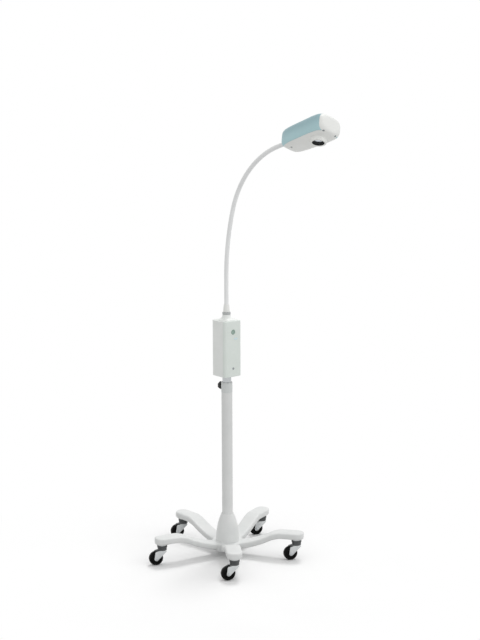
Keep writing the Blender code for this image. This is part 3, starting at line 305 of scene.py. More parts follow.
# Lens; the barrel's steps are (radius, height over its mouth)
LENS_X = 0.0412
MOUTH = UNDERSIDE - 0.0118
BARREL_RADIUS = 0.0194
BARREL_SEAT = BARREL_RADIUS + GAP
COLLAR_RADIUS = 0.0258
COLLAR_OUTLINE = (
    (COLLAR_RADIUS, MOUTH), (COLLAR_RADIUS, UNDERSIDE - 0.0015), (COLLAR_RADIUS + 0.0022, UNDERSIDE + 0.0012),
    (BARREL_SEAT, UNDERSIDE + 0.004), (BARREL_SEAT, MOUTH),
)
BARREL_BORE = 0.0178
BARREL_LIP = 0.017
BARREL_STEPS = ((0.0186, 0), (0.0183, 0.004), (0.0179, 0.0042), (0.0176, 0.0085), (0.0172, 0.0087))
FLANGE_SEAT = UNDERSIDE + 0.0245
FLANGE_THICKNESS = 0.002
LIP = MOUTH + 0.013
LENS_RADIUS = BARREL_BORE - GAP
LENS_SEAT = LIP + GAP
LENS_THICKNESS = 0.005
LENS_CROWN = 0.0015
LENS_STEPS = 10

# Studio, with the camera's angles in degrees
AMBIENT = 0.72
FLOOR_BOUNCE = "c6c6c6"
FLOOR_SIZE = 14
FLOOR_NEAR = 0.3
FLOOR_FAR = 0.95
CAMERA_PLACE = (-2.767, -3.549, 1.647)
CAMERA_TURN = -38.535
CAMERA_TILT = 79.9
CAMERA_ROLL = -0.2
CAMERA_LENS = 74.53
CAMERA_SENSOR = 36
CAMERA_REACH = 60

# Limits of the shape helpers
ON_AXIS = 1e-6
WELD = 1e-6
SLIVER = 2e-6
NEARLY_STRAIGHT = radians(8)
CORNER_SHARE = 0.45
LONG_SIDE = 3
GUARD_SHARE = 0.4


# Colours and finishes

def tint(code):
    """Linear colour from a hexadecimal screen colour."""
    channels = [int(code[i:i + 2], 16) / 255 for i in (0, 2, 4)]
    linear = [c / 12.92 if c <= 0.04045 else ((c + 0.055) / 1.055) ** 2.4 for c in channels]
    return (*linear, 1.0)


def start_finish(name):
    """New material, its tree, its shader and the object's own coordinates."""
    material = bpy.data.materials.new(name)
    material.use_nodes = True
    tree = material.node_tree
    place = tree.nodes.new("ShaderNodeTexCoord")
    return material, tree, tree.nodes["Principled BSDF"], place.outputs["Object"]


def add(tree, kind, **inputs):
    """New node whose inputs are given as values or as other nodes' outputs."""
    node = tree.nodes.new(kind)
    for name, value in inputs.items():
        socket = node.inputs[name.replace("_", " ")]
        if isinstance(value, bpy.types.NodeSocket):
            tree.links.new(value, socket)
        else:
            socket.default_value = value
    return node


def noise(tree, where, scale, detail=4, stretch=(1, 1, 1)):
    place = add(tree, "ShaderNodeMapping", Vector=where, Scale=stretch).outputs["Vector"]
    return add(tree, "ShaderNodeTexNoise", Vector=place, Scale=scale, Detail=detail).outputs["Fac"]


def paint(tree, shader, factor, low, high, start=0.32, end=0.68):
    """Base colour that runs from one tint to another."""
    node = add(tree, "ShaderNodeValToRGB", Fac=factor)
    node.color_ramp.elements[0].position = start
    node.color_ramp.elements[0].color = tint(low)
    node.color_ramp.elements[1].position = end
    node.color_ramp.elements[1].color = tint(high)
    tree.links.new(node.outputs["Color"], shader.inputs["Base Color"])


def gloss(tree, shader, factor, low, high, start=0.3, end=0.7):
    """Roughness that runs from one value to another."""
    node = add(tree, "ShaderNodeMapRange", Value=factor, From_Min=start, From_Max=end,
               To_Min=low, To_Max=high)
    tree.links.new(node.outputs["Result"], shader.inputs["Roughness"])


def relief(tree, shader, height, strength, depth):
    bump = add(tree, "ShaderNodeBump", Height=height, Strength=strength, Distance=depth)
    tree.links.new(bump.outputs["Normal"], shader.inputs["Normal"])


def fine_skin(tree, shader, where, rough, grain, depth, shine):
    gloss(tree, shader, noise(tree, where, scale=70), *rough)
    shader.inputs["Specular IOR Level"].default_value = shine
    relief(tree, shader, noise(tree, where, grain, detail=2), strength=0.12, depth=depth)


def moulded(name, low, high, rough, grain, depth=0.00012, cloud=14, shine=0.5):
    """Paint or plastic: soft clouds of colour, uneven gloss and a fine skin texture."""
    material, tree, shader, where = start_finish(name)
    paint(tree, shader, noise(tree, where, cloud), low, high)
    fine_skin(tree, shader, where, rough, grain, depth, shine)
    return material


def metal(name, low, high, rough, stretch=(1, 1, 1), bare=1.0):
    """Bare or thinly coated metal, whose fine lines can be drawn out along one direction."""
    material, tree, shader, where = start_finish(name)
    shader.inputs["Metallic"].default_value = bare
    paint(tree, shader, noise(tree, where, scale=30, detail=5), low, high)
    gloss(tree, shader, noise(tree, where, scale=260, stretch=stretch), *rough)
    lines = noise(tree, where, scale=420, detail=3, stretch=stretch)
    relief(tree, shader, lines, strength=0.25, depth=0.00012)
    return material


def base_enamel():
    return moulded("base_enamel", "dee0df", "e5e6e5", (0.3, 0.46), grain=420, depth=0.00025, shine=0.3)


def pole_enamel():
    return moulded("pole_enamel", "dddfde", "e4e5e4", (0.3, 0.46), grain=520, depth=0.0002, shine=0.3)


def sleeve_enamel():
    return moulded("sleeve_enamel", "d2d6d5", "d9dcdb", (0.32, 0.48), grain=520, depth=0.0002, shine=0.3)


def box_plastic():
    return moulded("box_plastic", "ecefec", "f3f5f3", (0.4, 0.56), grain=1500)


def panel_plastic():
    return moulded("panel_plastic", "e0e8e2", "e8eeea", (0.36, 0.52), grain=1500)


def tray_plastic():
    return moulded("tray_plastic", "eff0ed", "f5f6f3", (0.3, 0.46), grain=1300, depth=0.0001)


def shell_plastic_painted_shade():
    """Tinted cover with painted shade that deepens its colour towards its top."""
    material, tree, shader, where = start_finish("shell_plastic_painted_shade")
    # Painted shade: the colour darkens with height up the head and is deepest at the top.
    rise = add(tree, "ShaderNodeSeparateXYZ", Vector=add(tree, "ShaderNodeTexCoord").outputs["UV"])
    painted_shade = tree.nodes.new("ShaderNodeMath")
    painted_shade.operation = "MULTIPLY_ADD"
    tree.links.new(noise(tree, where, scale=14), painted_shade.inputs[0])
    painted_shade.inputs[1].default_value = 0.25
    tree.links.new(rise.outputs["Y"], painted_shade.inputs[2])
    paint(tree, shader, painted_shade.outputs["Value"], "bcdee3", "93b3ba", start=0.2, end=1.0)
    fine_skin(tree, shader, where, (0.28, 0.42), grain=1300, depth=0.0001, shine=0.35)
    return material


def black_plastic():
    return moulded("black_plastic", "0c0d0d", "1b1c1d", (0.38, 0.58), grain=1400, depth=0.00015, cloud=40)


def hood_plastic():
    return moulded("hood_plastic", "393b3c", "4e5152", (0.3, 0.48), grain=1400, cloud=40)


def nylon():
    return moulded("nylon", "cdd0cf", "d9dbda", (0.42, 0.6), grain=1200, cloud=40)


def ring_plastic():
    return moulded("ring_plastic", "b8bbbb", "c7c9c9", (0.4, 0.58), grain=1200, cloud=40)


def button_plastic():
    return moulded("button_plastic", "8ea69b", "9db3a8", (0.36, 0.52), grain=1600, depth=0.0001, cloud=60)


def window_plastic():
    return moulded("window_plastic", "cde4ea", "dceef2", (0.1, 0.22), grain=900, depth=0.00006, cloud=60)


def board_lacquer():
    return moulded("board_lacquer", "14492c", "1d5f3a", (0.3, 0.48), grain=700, cloud=60)


def neck_sheath():
    return moulded("neck_sheath", "eeefef", "f5f6f6", (0.3, 0.46), grain=1200, depth=0.0001, cloud=20)


def screw_metal():
    return metal("screw_metal", "8b9092", "a3a8aa", (0.28, 0.46))


def zinc():
    return metal("zinc", "aaaeb1", "c6c9cb", (0.26, 0.46))


def fork_zinc():
    return metal("fork_zinc", "c9cccd", "d9dcdc", (0.3, 0.46), bare=0.4)


def post_steel():
    return metal("post_steel", "b9bcbe", "c1c4c5", (0.24, 0.3), stretch=(1, 1, 0.06))


def sink_aluminium():
    return metal("sink_aluminium", "c2c5c7", "d6d8d9", (0.34, 0.5), stretch=(1, 0.1, 1))


def mirror_metal():
    return metal("mirror_metal", "e2e3e4", "eeeeef", (0.05, 0.12))


def wheel_rubber():
    """Dark tread rubber with dusty patches."""
    material, tree, shader, where = start_finish("wheel_rubber")
    dust = noise(tree, where, scale=55, detail=6)
    paint(tree, shader, dust, "030303", "0d0e0e", start=0.35, end=0.75)
    gloss(tree, shader, noise(tree, where, scale=120), low=0.48, high=0.74)
    shader.inputs["Specular IOR Level"].default_value = 0.14
    relief(tree, shader, noise(tree, where, scale=1100, detail=3), strength=0.4, depth=0.0002)
    return material


def lens_glass():
    """Pressed lens with a faintly uneven surface and a painted glow that brightens it."""
    material, tree, shader, where = start_finish("lens_glass")
    shader.inputs["Transmission Weight"].default_value = 0.35
    shader.inputs["IOR"].default_value = 1.49
    # Painted glow: the lens gives off a faint light of its own that makes it look bright.
    shader.inputs["Emission Color"].default_value = tint("f4f8ff")
    shader.inputs["Emission Strength"].default_value = 0.25
    paint(tree, shader, noise(tree, where, scale=60), "e9eef0", "f6f9fa")
    gloss(tree, shader, noise(tree, where, scale=150), low=0.04, high=0.12)
    relief(tree, shader, noise(tree, where, scale=500, detail=2), strength=0.15, depth=0.0002)
    return material


# Shapes

def skin(bm, first, second):
    """Faces between two rings of points; either may be a single point."""
    count = max(len(first), len(second))
    for i in range(count):
        corners = [first[i % len(first)], first[(i + 1) % len(first)],
                   second[(i + 1) % len(second)], second[i % len(second)]]
        loop = []
        for corner in corners:
            if corner not in loop:
                loop.append(corner)
        bm.faces.new(loop)


def loft(rings, capped=True):
    bm = bmesh.new()
    made = [[bm.verts.new(point) for point in points] for points in rings]
    for first, second in zip(made, made[1:]):
        skin(bm, first, second)
    if capped:
        for end in (made[0], made[-1]):
            if len(end) > 2:
                bm.faces.new(end)
    bmesh.ops.recalc_face_normals(bm, faces=bm.faces)
    return bm


def turns(count):
    return [tau * step / count for step in range(count)]


def ring(radii, height):
    """Points of a ring about Z, one for each radius."""
    around = zip(radii, turns(len(radii)))
    return [(radius * cos(turn), radius * sin(turn), height) for radius, turn in around]


def lathe(profile, sides):
    """Form turned about Z through (radius, height) points, closed up unless it ends on the axis."""
    bm = bmesh.new()
    made = []
    for radius, height in profile:
        points = [(0, 0, height)] if radius < ON_AXIS else ring([radius] * sides, height)
        made.append([bm.verts.new(point) for point in points])
    pairs = list(zip(made, made[1:]))
    if len(made[0]) > 1 and len(made[-1]) > 1:
        pairs.append((made[-1], made[0]))
    for first, second in pairs:
        skin(bm, first, second)
    bmesh.ops.recalc_face_normals(bm, faces=bm.faces)
    return bm


def soften(points, radius, steps=4):
    """Outline with round corners and flat long sides; ends on the axis stay as they are."""
    open_ended = points[0][0] < ON_AXIS and points[-1][0] < ON_AXIS
    outline = []
    for i, point in enumerate(points):
        if open_ended and i in (0, len(points) - 1):
            outline.append(tuple(point))
            continue
        here = Vector(point)
        back = Vector(points[i - 1]) - here
        ahead = Vector(points[(i + 1) % len(points)]) - here
        if back.angle(-ahead) < NEARLY_STRAIGHT:
            outline.append(tuple(point))
            continue
        reach = min(radius, back.length * CORNER_SHARE, ahead.length * CORNER_SHARE)
        first = here + back.normalized() * reach
        last = here + ahead.normalized() * reach
        if back.length > LONG_SIDE * radius:
            outline.append(tuple(first + back.normalized() * radius * GUARD_SHARE))
        for step in range(steps + 1):
            t = step / steps
            outline.append(tuple(first * (1 - t) ** 2 + here * 2 * t * (1 - t) + last * t ** 2))
        if ahead.length > LONG_SIDE * radius:
            outline.append(tuple(last + ahead.normalized() * radius * GUARD_SHARE))
    return outline


def turned(points, easing, sides=64, steps=4):
    """Form turned about Z from an outline with rounded corners."""
    return lathe(soften(points, easing, steps), sides)


def rod(radius, low, high, sides=48):
    return lathe([(0, high), (radius, high), (radius, low), (0, low)], sides)


def block(low, high):
    bm = bmesh.new()
    bmesh.ops.create_cube(bm, size=1.0)
    size = Vector(high) - Vector(low)
    middle = (Vector(high) + Vector(low)) / 2
    bm.transform(Matrix.Translation(middle) @ Matrix.Diagonal((*size, 1)))
    return bm


def rounded_rectangle(width, height, radius, steps=8, guard=0):
    """Rectangle with round corners; a guard sets points just before them."""
    points = []
    for corner in range(4):
        turn = corner * pi / 2
        centre_x = (width / 2 - radius) * (1 if corner in (0, 3) else -1)
        centre_y = (height / 2 - radius) * (1 if corner in (0, 1) else -1)
        arc = []
        for step in range(steps + 1):
            angle = turn + pi / 2 * step / steps
            arc.append(Vector((centre_x + radius * cos(angle), centre_y + radius * sin(angle))))
        if guard:
            start = Vector((sin(turn), -cos(turn)))
            end = Vector((-cos(turn), -sin(turn)))
            arc = [arc[0] + start * guard, *arc, arc[-1] + end * guard]
        points += [tuple(point) for point in arc]
    return points


def moved(bm, matrix):
    bm.transform(matrix)
    return bm


def together(*forms):
    """One mesh from several forms."""
    whole = bmesh.new()
    for form in forms:
        mesh = bpy.data.meshes.new("part")
        form.to_mesh(mesh)
        form.free()
        whole.from_mesh(mesh)
        bpy.data.meshes.remove(mesh)
    return whole


def placed(name, data):
    item = bpy.data.objects.new(name, data)
    bpy.context.scene.collection.objects.link(item)
    return item


def loose(name, bm):
    """New object from a form, which is used up."""
    mesh = bpy.data.meshes.new(name)
    bm.to_mesh(mesh)
    bm.free()
    return placed(name, mesh)


def baked(item):
    """Mesh of an object with its modifiers applied; the object is removed."""
    bpy.context.view_layer.update()
    shaped = item.evaluated_get(bpy.context.evaluated_depsgraph_get())
    bm = bmesh.new()
    bm.from_mesh(shaped.to_mesh())
    shaped.to_mesh_clear()
    bpy.data.objects.remove(item)
    return bm


def carved(bm, *cutters):
    """Form with each cutter taken away."""
    item = loose("form", bm)
    tools = []
    for cutter in cutters:
        tool = loose("cutter", cutter)
        step = item.modifiers.new("cut", "BOOLEAN")
        step.solver = "EXACT"
        step.operation = "DIFFERENCE"
        step.object = tool
        tools.append(tool)
    result = baked(item)
    for tool in tools:
        bpy.data.objects.remove(tool)
    bmesh.ops.remove_doubles(result, verts=result.verts, dist=WELD)
    return result


def eased(bm, width, angle=40):
    """Form with its sharp edges rounded over."""
    sharp = [e for e in bm.edges if e.is_manifold and e.calc_face_angle() > radians(angle)]
    bmesh.ops.bevel(bm, geom=sharp, offset=width, segments=2, profile=0.5, affect="EDGES", clamp_overlap=True)
    bmesh.ops.dissolve_degenerate(bm, dist=SLIVER, edges=bm.edges)
    return bm


def screw_form(radius, height):
    """Domed screw head with a cross recess, seated at z 0."""
    dome = turned([(0, height), (radius * 0.55, height * 0.94), (radius * 0.92, height * 0.5),
                   (radius, 0), (0, 0)], easing=radius * 0.2, sides=32)
    arm = radius * 0.55
    web = radius * 0.11
    floor = height * 0.35
    top = height * 2
    bars = [block((-x, -y, floor), (x, y, top)) for x, y in ((arm, web), (web, arm))]
    return carved(dome, *bars)


def piece(name, bm, finish, body, slot, *nodes, crease=35):
    """Puts a form in the scene as a piece that rides on a body and stands for CAD nodes."""
    item = loose(name, bm)
    item.data.materials.append(finish)
    item.data.shade_smooth()
    item.data.set_sharp_from_angle(angle=radians(crease))
    if body:
        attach(item, body)
    if nodes:
        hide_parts(*nodes)
    return item


# Base and pole

def make_base(frame, finish):
    """Cast star: the CAD star with its edges and inner corners melted soft."""
    bm = bmesh.new()
    bm.from_mesh(frame["nodes"]["base_star"].data)
    item = loose("star", bm)
    remesh = item.modifiers.new("voxels", "REMESH")
    remesh.mode = "VOXEL"
    remesh.voxel_size = STAR_VOXEL
    melt = item.modifiers.new("melt", "SMOOTH")
    melt.factor = STAR_MELT_FACTOR
    melt.iterations = STAR_MELT_STEPS
    thin = item.modifiers.new("thin", "DECIMATE")
    thin.ratio = STAR_FACES_KEPT
    piece("base_casting", baked(item), finish, "base", "white_paint", "base_star", crease=180)


def make_cone(finish):
    """Bell-shaped foot of the pole, sunk a little into the melted hub."""
    profile = []
    for step in range(CONE_STEPS + 1):
        share = 1 - step / CONE_STEPS
        radius = CONE_TOP_RADIUS + (CONE_FOOT_RADIUS - CONE_TOP_RADIUS) * (1 - share ** CONE_FULLNESS)
        profile.append((radius, CONE_FOOT + CONE_RIM + share * (CONE_HEIGHT - CONE_RIM)))
    sunk = HUB_TOP - CONE_SINK
    bore = TUBE_RADIUS + GAP
    profile += [(CONE_FOOT_RADIUS, sunk), (bore, sunk), (bore, CONE_FOOT + CONE_HEIGHT)]
    piece("pole_foot", turned(profile, easing=0.0012, sides=80), finish, "base", "white_paint", "hub_cone")


def make_tube(finish):
    tube = turned([(TUBE_RADIUS, TUBE_TOP), (TUBE_RADIUS, TUBE_FOOT), (TUBE_BORE, TUBE_FOOT),
                   (TUBE_BORE, TUBE_TOP)], easing=0.0006, sides=72)
    piece("pole_tube", carved(tube, pad_path()), finish, "base", "grey_paint", "outer_tube")


def make_sleeve(finish):
    """Thin sleeve round the top of the tube."""
    sleeve = carved(turned(SLEEVE_OUTLINE, easing=0.0004, sides=72), pad_path())
    piece("pole_sleeve", sleeve, finish, "base", "grey_paint")


def make_boss(finish):
    """Boss on the back of the tube, bored for the clamp screw and its pad."""
    boss = turned(BOSS_OUTLINE, easing=0.0006, sides=48)
    piece("pole_boss", moved(boss, clamp_line()), finish, "base", "grey_paint")


def make_bush(finish):
    plug = TUBE_BORE - GAP
    bore = POST_RADIUS + GAP
    bush = turned([(TUBE_RADIUS, BUSH_TOP), (TUBE_RADIUS, TUBE_TOP), (plug, TUBE_TOP), (plug, BUSH_FOOT),
                   (bore, BUSH_FOOT), (bore, BUSH_TOP)], easing=0.0008, sides=72)
    piece("pole_bush", bush, finish, "base", "nylon", "tube_bush")


def make_post(finish):
    top = BOX_UNDER + POST_IN_BOX
    post = turned([(POST_RADIUS, top), (POST_RADIUS, POST_FOOT), (POST_BORE, POST_FOOT), (POST_BORE, top)],
                  easing=0.0005, sides=72)
    piece("mast_post", post, finish, "mast", "steel", "inner_post")


def clamp_line():
    """Line through the clamp, with local +Z out of the pole's back."""
    return Matrix.Translation((0, 0, CLAMP_HEIGHT)) @ Matrix.Rotation(-pi / 2, 4, "X")


def pad_path():
    """Hole through the pole's wall in which the clamp pad moves."""
    return moved(rod(CLAMP_PAD_BORE, TUBE_BORE / 2, CLAMP_PAD_STOP), clamp_line())


def make_knob(finish):
    """Hand knob with finger lobes that fade out towards its faces."""
    around = turns(KNOB_LOBES * KNOB_LOBE_STEPS)
    dips = [((1 - cos(KNOB_LOBES * turn)) / 2) ** KNOB_LOBE_POWER for turn in around]
    rings = [[(0, 0, KNOB_NEAR)]]
    for share, draw_in in KNOB_STATIONS:
        height = KNOB_NEAR + share * KNOB_THICKNESS
        lobe = KNOB_LOBE_DEPTH * max(0, 1 - draw_in / KNOB_LOBE_FADE)
        rings.append(ring([KNOB_RADIUS - draw_in - lobe * dip for dip in dips], height))
    rings.append([(0, 0, height)])
    knob = moved(loft(rings), clamp_line())
    piece("hand_knob", knob, finish, "clamp_handle", "black_plastic", "clamp_knob")


# Casters

def caster_place(number):
    """Matrix of a caster, upright at its swivel, with +X along its trail."""
    low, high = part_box(f"caster_crown_{number}")
    middle = (low + high) / 2
    return Matrix.Translation((middle.x, middle.y, 0)) @ Matrix.Rotation(TRAIL_AZIMUTH, 4, "Z")


def cheek_form(side):
    """One pressed cheek of a fork, with round shoulders under the hood and its edges eased."""
    corners = [(-FORK_TAB, FORK_TAB_TOP), (-FORK_TAB, HOOD_UNDER), (-SHOULDER, SHOULDER_TOP),
               (-SHOULDER, SHOULDER_FOOT)]
    for turn in FORK_EYE_ARC:
        height = WHEEL_CENTRE + FORK_EYE_RADIUS * sin(turn)
        corners.append((TRAIL + FORK_EYE_RADIUS * cos(turn), height))
    corners += [REAR_CORNER, (REAR_SHOULDER, SHOULDER_TOP), (FORK_TAB, HOOD_UNDER), (FORK_TAB, FORK_TAB_TOP)]
    outline = soften(corners, FORK_CORNER)
    rings = [[(trail, side * y, height) for trail, height in outline] for y in (FORK_INNER, FORK_OUTER)]
    return eased(loft(rings), FORK_EASE, angle=50)


def wheel_form():
    """Solid wheel with a hub, dished web, ribs and a rounded tread, turned about Z."""
    profile = [*WHEEL_SIDE, *((radius, -half) for radius, half in reversed(WHEEL_SIDE))]
    forms = [turned(profile, easing=0.0009, sides=56, steps=3)]
    for flip in (pi, 0):
        for turn in turns(RIB_COUNT):
            rib = moved(eased(block(RIB_LOW, RIB_HIGH), EDGE_EASE), Matrix.Rotation(flip, 4, "X"))
            forms.append(moved(rib, Matrix.Rotation(turn, 4, "Z")))
    return together(*forms)


def make_crown(number, place, finishes):
    """Light seat ring and grooved dark cap under the leg."""
    node = f"caster_crown_{number}"
    seat = turned([(0, CROWN_TOP), (CROWN_SEAT_RADIUS, CROWN_TOP), (CROWN_SEAT_RADIUS, CROWN_SPLIT),
                   (0, CROWN_SPLIT)], easing=0.0008, sides=48)
    piece(f"caster_seat_{number}", moved(seat, place), finishes["fork"], "base", "steel", node)
    cap = turned(CAP_OUTLINE, easing=0.0012, sides=48)
    piece(f"caster_cap_{number}", moved(cap, place), finishes["hood"], "base", "black_plastic", node)


def make_fork(number, place, finishes):
    """Dark hood with the two cheeks of the fork below it."""
    body = f"caster_{number}"
    node = f"caster_fork_{number}"
    hood = turned(HOOD_OUTLINE, easing=0.001, sides=48)
    piece(f"caster_hood_{number}", moved(hood, place), finishes["hood"], body, "black_plastic", node)
    cheeks = together(cheek_form(-1), cheek_form(1))
    piece(f"caster_yoke_{number}", moved(cheeks, place), finishes["fork"], body, "steel", node)


def make_wheel(number, place, finishes):
    """Wheel on a rivet whose heads lie outside the cheeks."""
    across = place @ Matrix.Translation((TRAIL, 0, WHEEL_CENTRE)) @ Matrix.Rotation(pi / 2, 4, "X")
    head = FORK_OUTER + GAP
    end = head + AXLE_HEAD_HEIGHT
    half = [(0, end), (AXLE_HEAD_FLAT, end), (AXLE_HEAD_RADIUS, head + AXLE_HEAD_RIM),
            (AXLE_HEAD_RADIUS, head), (AXLE_RADIUS, head)]
    rivet = turned(half + [(radius, -height) for radius, height in reversed(half)], easing=0.0008, sides=32)
    piece(f"wheel_rivet_{number}", moved(rivet, across), finishes["zinc"], f"caster_{number}", "steel",
          f"caster_axle_{number}")
    piece(f"wheel_tyre_{number}", moved(wheel_form(), across), finishes["rubber"], f"wheel_{number}",
          "wheel_rubber", f"caster_wheel_{number}")


def make_caster(number, finishes):
    place = caster_place(number)
    make_crown(number, place, finishes)
    make_fork(number, place, finishes)
    make_wheel(number, place, finishes)


# Control box

def box_form(inset):
    """Upright box with rounded corners and edges, drawn in all round by the inset."""
    around = [pi / 2 * step / BOX_EDGE_STEPS for step in range(BOX_EDGE_STEPS + 1)]
    edge = [(BOX_EDGE * (1 - sin(turn)), BOX_EDGE * (1 - cos(turn))) for turn in around]
    edge.append((0, BOX_EDGE + BOX_GUARD))
    levels = [(draw_in, BOX_UNDER + inset + rise) for draw_in, rise in edge]
    levels += [(draw_in, BOX_TOP - inset - rise) for draw_in, rise in reversed(edge)]
    rings = []
    for draw_in, height in levels:
        shrink = inset + draw_in
        outline = rounded_rectangle(BOX_WIDTH - 2 * shrink, BOX_DEPTH - 2 * shrink, BOX_CORNER - draw_in,
                                    guard=BOX_GUARD)
        rings.append([(x, y, height) for x, y in outline])
    return loft(rings)


def panel_line(x, z):
    """Line through the panel at a point, with local +Z out of the panel."""
    return Matrix.Translation((x, PANEL_FACE, z)) @ Matrix.Rotation(pi / 2, 4, "X")


def window_form(grow, front, back):
    """Rounded slab the size of the window between two depths."""
    width = WINDOW_WIDTH + 2 * grow
    outline = rounded_rectangle(width, WINDOW_HEIGHT + 2 * grow, WINDOW_CORNER + grow, steps=5)
    return loft([[(WINDOW_X + x, y, WINDOW_Z + z) for x, z in outline] for y in (front, back)])


def make_housing(finish):
    """Rear part of the box, open for the post."""
    reach = BOX_WIDTH
    front = block((-reach, -reach, 0), (reach, PANEL_SPLIT + BOX_SEAM, 1))
    post_hole = rod(POST_RADIUS + GAP, BOX_UNDER - CUT_REACH, BOX_UNDER + CUT_REACH, sides=64)
    housing = eased(carved(box_form(0), box_form(BOX_WALL), front, post_hole), EDGE_EASE)
    piece("box_housing", housing, finish, "mast", "box_plastic", "box_shell", crease=BOX_CREASE)


def make_panel(finish):
    """Front part of the box, open for the button and the window, with a raised bezel."""
    reach = BOX_WIDTH
    rear = block((-reach, PANEL_SPLIT - BOX_SEAM, 0), (reach, reach, 1))
    button_line = panel_line(0, BUTTON_HEIGHT)
    button_hole = moved(rod(BUTTON_RADIUS + GAP, -CUT_REACH, CUT_REACH, sides=64), button_line)
    window_hole = window_form(GAP / 2, PANEL_FACE - CUT_REACH, PANEL_FACE + CUT_REACH)
    face = eased(carved(box_form(0), box_form(BOX_WALL), rear, button_hole, window_hole), EDGE_EASE)
    piece("box_face", face, finish, "mast", "panel_plastic", "front_panel", crease=BOX_CREASE)
    bezel = turned(BEZEL_OUTLINE, easing=0.0004)
    piece("button_bezel", moved(bezel, button_line), finish, "mast", "panel_plastic")


def make_button(finish):
    button = moved(turned(BUTTON_OUTLINE, easing=0.0008), panel_line(0, BUTTON_HEIGHT))
    piece("power_cap", button, finish, "power_key", "button_plastic", "power_button")


def make_window(finish):
    window = eased(window_form(0, PANEL_FACE - WINDOW_PROUD, PANEL_FACE + WINDOW_DEPTH), WINDOW_EASE)
    piece("glow_window", window, finish, "mast", "window_plastic", "indicator_window")


def make_panel_screw(finish):
    head = moved(screw_form(PANEL_SCREW_RADIUS, PANEL_SCREW_HEIGHT), panel_line(0, PANEL_SCREW_Z))
    piece("face_screw", head, finish, "mast", "steel", "panel_screw")


# Gooseneck and its foot

def make_flare(finish):
    """Flared seat of the neck on the box."""
    profile = []
    for step in range(FLARE_STEPS + 1):
        share = step / FLARE_STEPS
        radius = FLARE_TOP_RADIUS + (FLARE_FOOT_RADIUS - FLARE_TOP_RADIUS) * share ** FLARE_POWER
        profile.append((radius, SEAT_TOP - share * FLARE_DROP))
    profile += [(FLARE_FOOT_RADIUS, SEAT_UNDER), (NECK_BORE, SEAT_UNDER), (NECK_BORE, SEAT_TOP)]
    flare = turned(profile, easing=0.0006, sides=72)
    piece("neck_flare", flare, finish, "mast", "white_paint", "neck_seat")


def make_lock_ring(finish):
    """Ring with fine notches round its middle."""
    rings = []
    for height, draw_in in RING_STATIONS:
        rim = RING_RADIUS - draw_in
        notch = RING_TOOTH_DEPTH if RING_TOOTH_LOW < height < RING_TOOTH_HIGH else 0
        tooth = [rim - notch] + [rim] * (RING_TOOTH_STEPS - 1)
        rings.append(ring(tooth * RING_TEETH, RING_UNDER + height))
    rings.append(rings[0])
    form = loft(rings, capped=False)
    bmesh.ops.remove_doubles(form, verts=form.verts, dist=WELD / 10)
    piece("knurled_ring", form, finish, "mast", "black_plastic", "lock_ring")


def make_ferrule(finish):
    ferrule = turned(FERRULE_OUTLINE, easing=0.001)
    piece("neck_collar", ferrule, finish, "mast", "white_paint", "lower_ferrule")


def neck_state(distance):
    """Point and direction on the neck's centre line, at a distance from the ferrule."""
    step = min(distance, NECK_RISE)
    point = Vector((0, 0, FERRULE_TOP)) + Vector((0, 0, step))
    rest = distance - step
    lean = 0.0
    for radius, bend in NECK_BENDS:
        end = lean + min(rest / radius, bend)
        point = point + NECK_OUT * radius * (cos(lean) - cos(end))
        point = point + Vector((0, 0, radius * (sin(end) - sin(lean))))
        rest -= (end - lean) * radius
        lean = end
    along = Vector((0, 0, cos(lean))) + NECK_OUT * sin(lean)
    return point + along * rest, along


def neck_pivot(number):
    """Distance along the neck of one of its joints."""
    return (NECK_LENGTH - GLAND_LENGTH) * (number - 0.5) / NECK_JOINTS


def neck_form(start, end):
    """Length of sheath that shows the coil inside it as faint rings."""
    steps = round((end - start) / COIL_PITCH * COIL_STEPS)
    rings = []
    for step in range(steps + 1):
        distance = start + (end - start) * step / steps
        centre, along = neck_state(distance)
        inward = NECK_SIDE.cross(along)
        radius = NECK_RADIUS - COIL_DEPTH * (1 - cos(tau * distance / COIL_PITCH)) / 2
        spokes = [inward * cos(turn) + NECK_SIDE * sin(turn) for turn in turns(NECK_SIDES)]
        rings.append([centre + spoke * radius for spoke in spokes])
    return loft(rings)


def make_neck(finish):
    """One length of sheath round each joint, reaching halfway to its neighbours; the end lengths reach into
    the ferrule and the head.
    """
    for number in range(1, NECK_JOINTS + 1):
        here = neck_pivot(number)
        start = (here + neck_pivot(number - 1)) / 2
        end = (here + neck_pivot(number + 1)) / 2
        nodes = [f"neck_link_{number}"]
        if number == 1:
            start = -NECK_IN_FERRULE
        if number == NECK_JOINTS:
            end = NECK_LENGTH + NECK_IN_HEAD
            nodes.append(f"neck_link_{number + 1}")
        form = neck_form(start, end)
        length = piece(f"neck_skin_{number}", form, finish, None, "neck_sheath", *nodes, crease=60)
        pivot, along = neck_state(here)
        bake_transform(length)


# Lamp head, modelled about its centre with +X to the nose and +Z up

def head_place():
    end, nose = neck_state(NECK_LENGTH)
    upright = nose.cross(NECK_SIDE)
    turn = Matrix((nose, upright.cross(nose), upright)).transposed() @ Matrix.Rotation(HEAD_ROLL, 3, "X")
    return Matrix.Translation(end + nose * HEAD_LENGTH / 2) @ turn.to_4x4()


def head_section(share, inset):
    """Half width, half height and squareness of the head at a share of its half length."""
    width = HEAD_REAR_WIDTH + (HEAD_FRONT_WIDTH - HEAD_REAR_WIDTH) * (share + 1) / 2
    least, power = NOSE_ROUNDING if share > 0 else REAR_ROUNDING
    scale = least + (1 - least) * (1 - abs(share) ** power) ** (1 / power)
    into_nose = max(0, (share - NOSE_START) / (1 - NOSE_START))
    squareness = HEAD_SQUARENESS - NOSE_SOFTNESS * into_nose ** NOSE_POWER
    return (width / 2 - inset) * scale, (HEAD_HEIGHT / 2 - inset) * scale, squareness


def head_underside(forward, across):
    """Height of the head's underside at a point."""
    half_width, half_height, squareness = head_section(forward / (HEAD_LENGTH / 2), 0)
    return -half_height * (1 - (abs(across) / half_width) ** squareness) ** (1 / squareness)


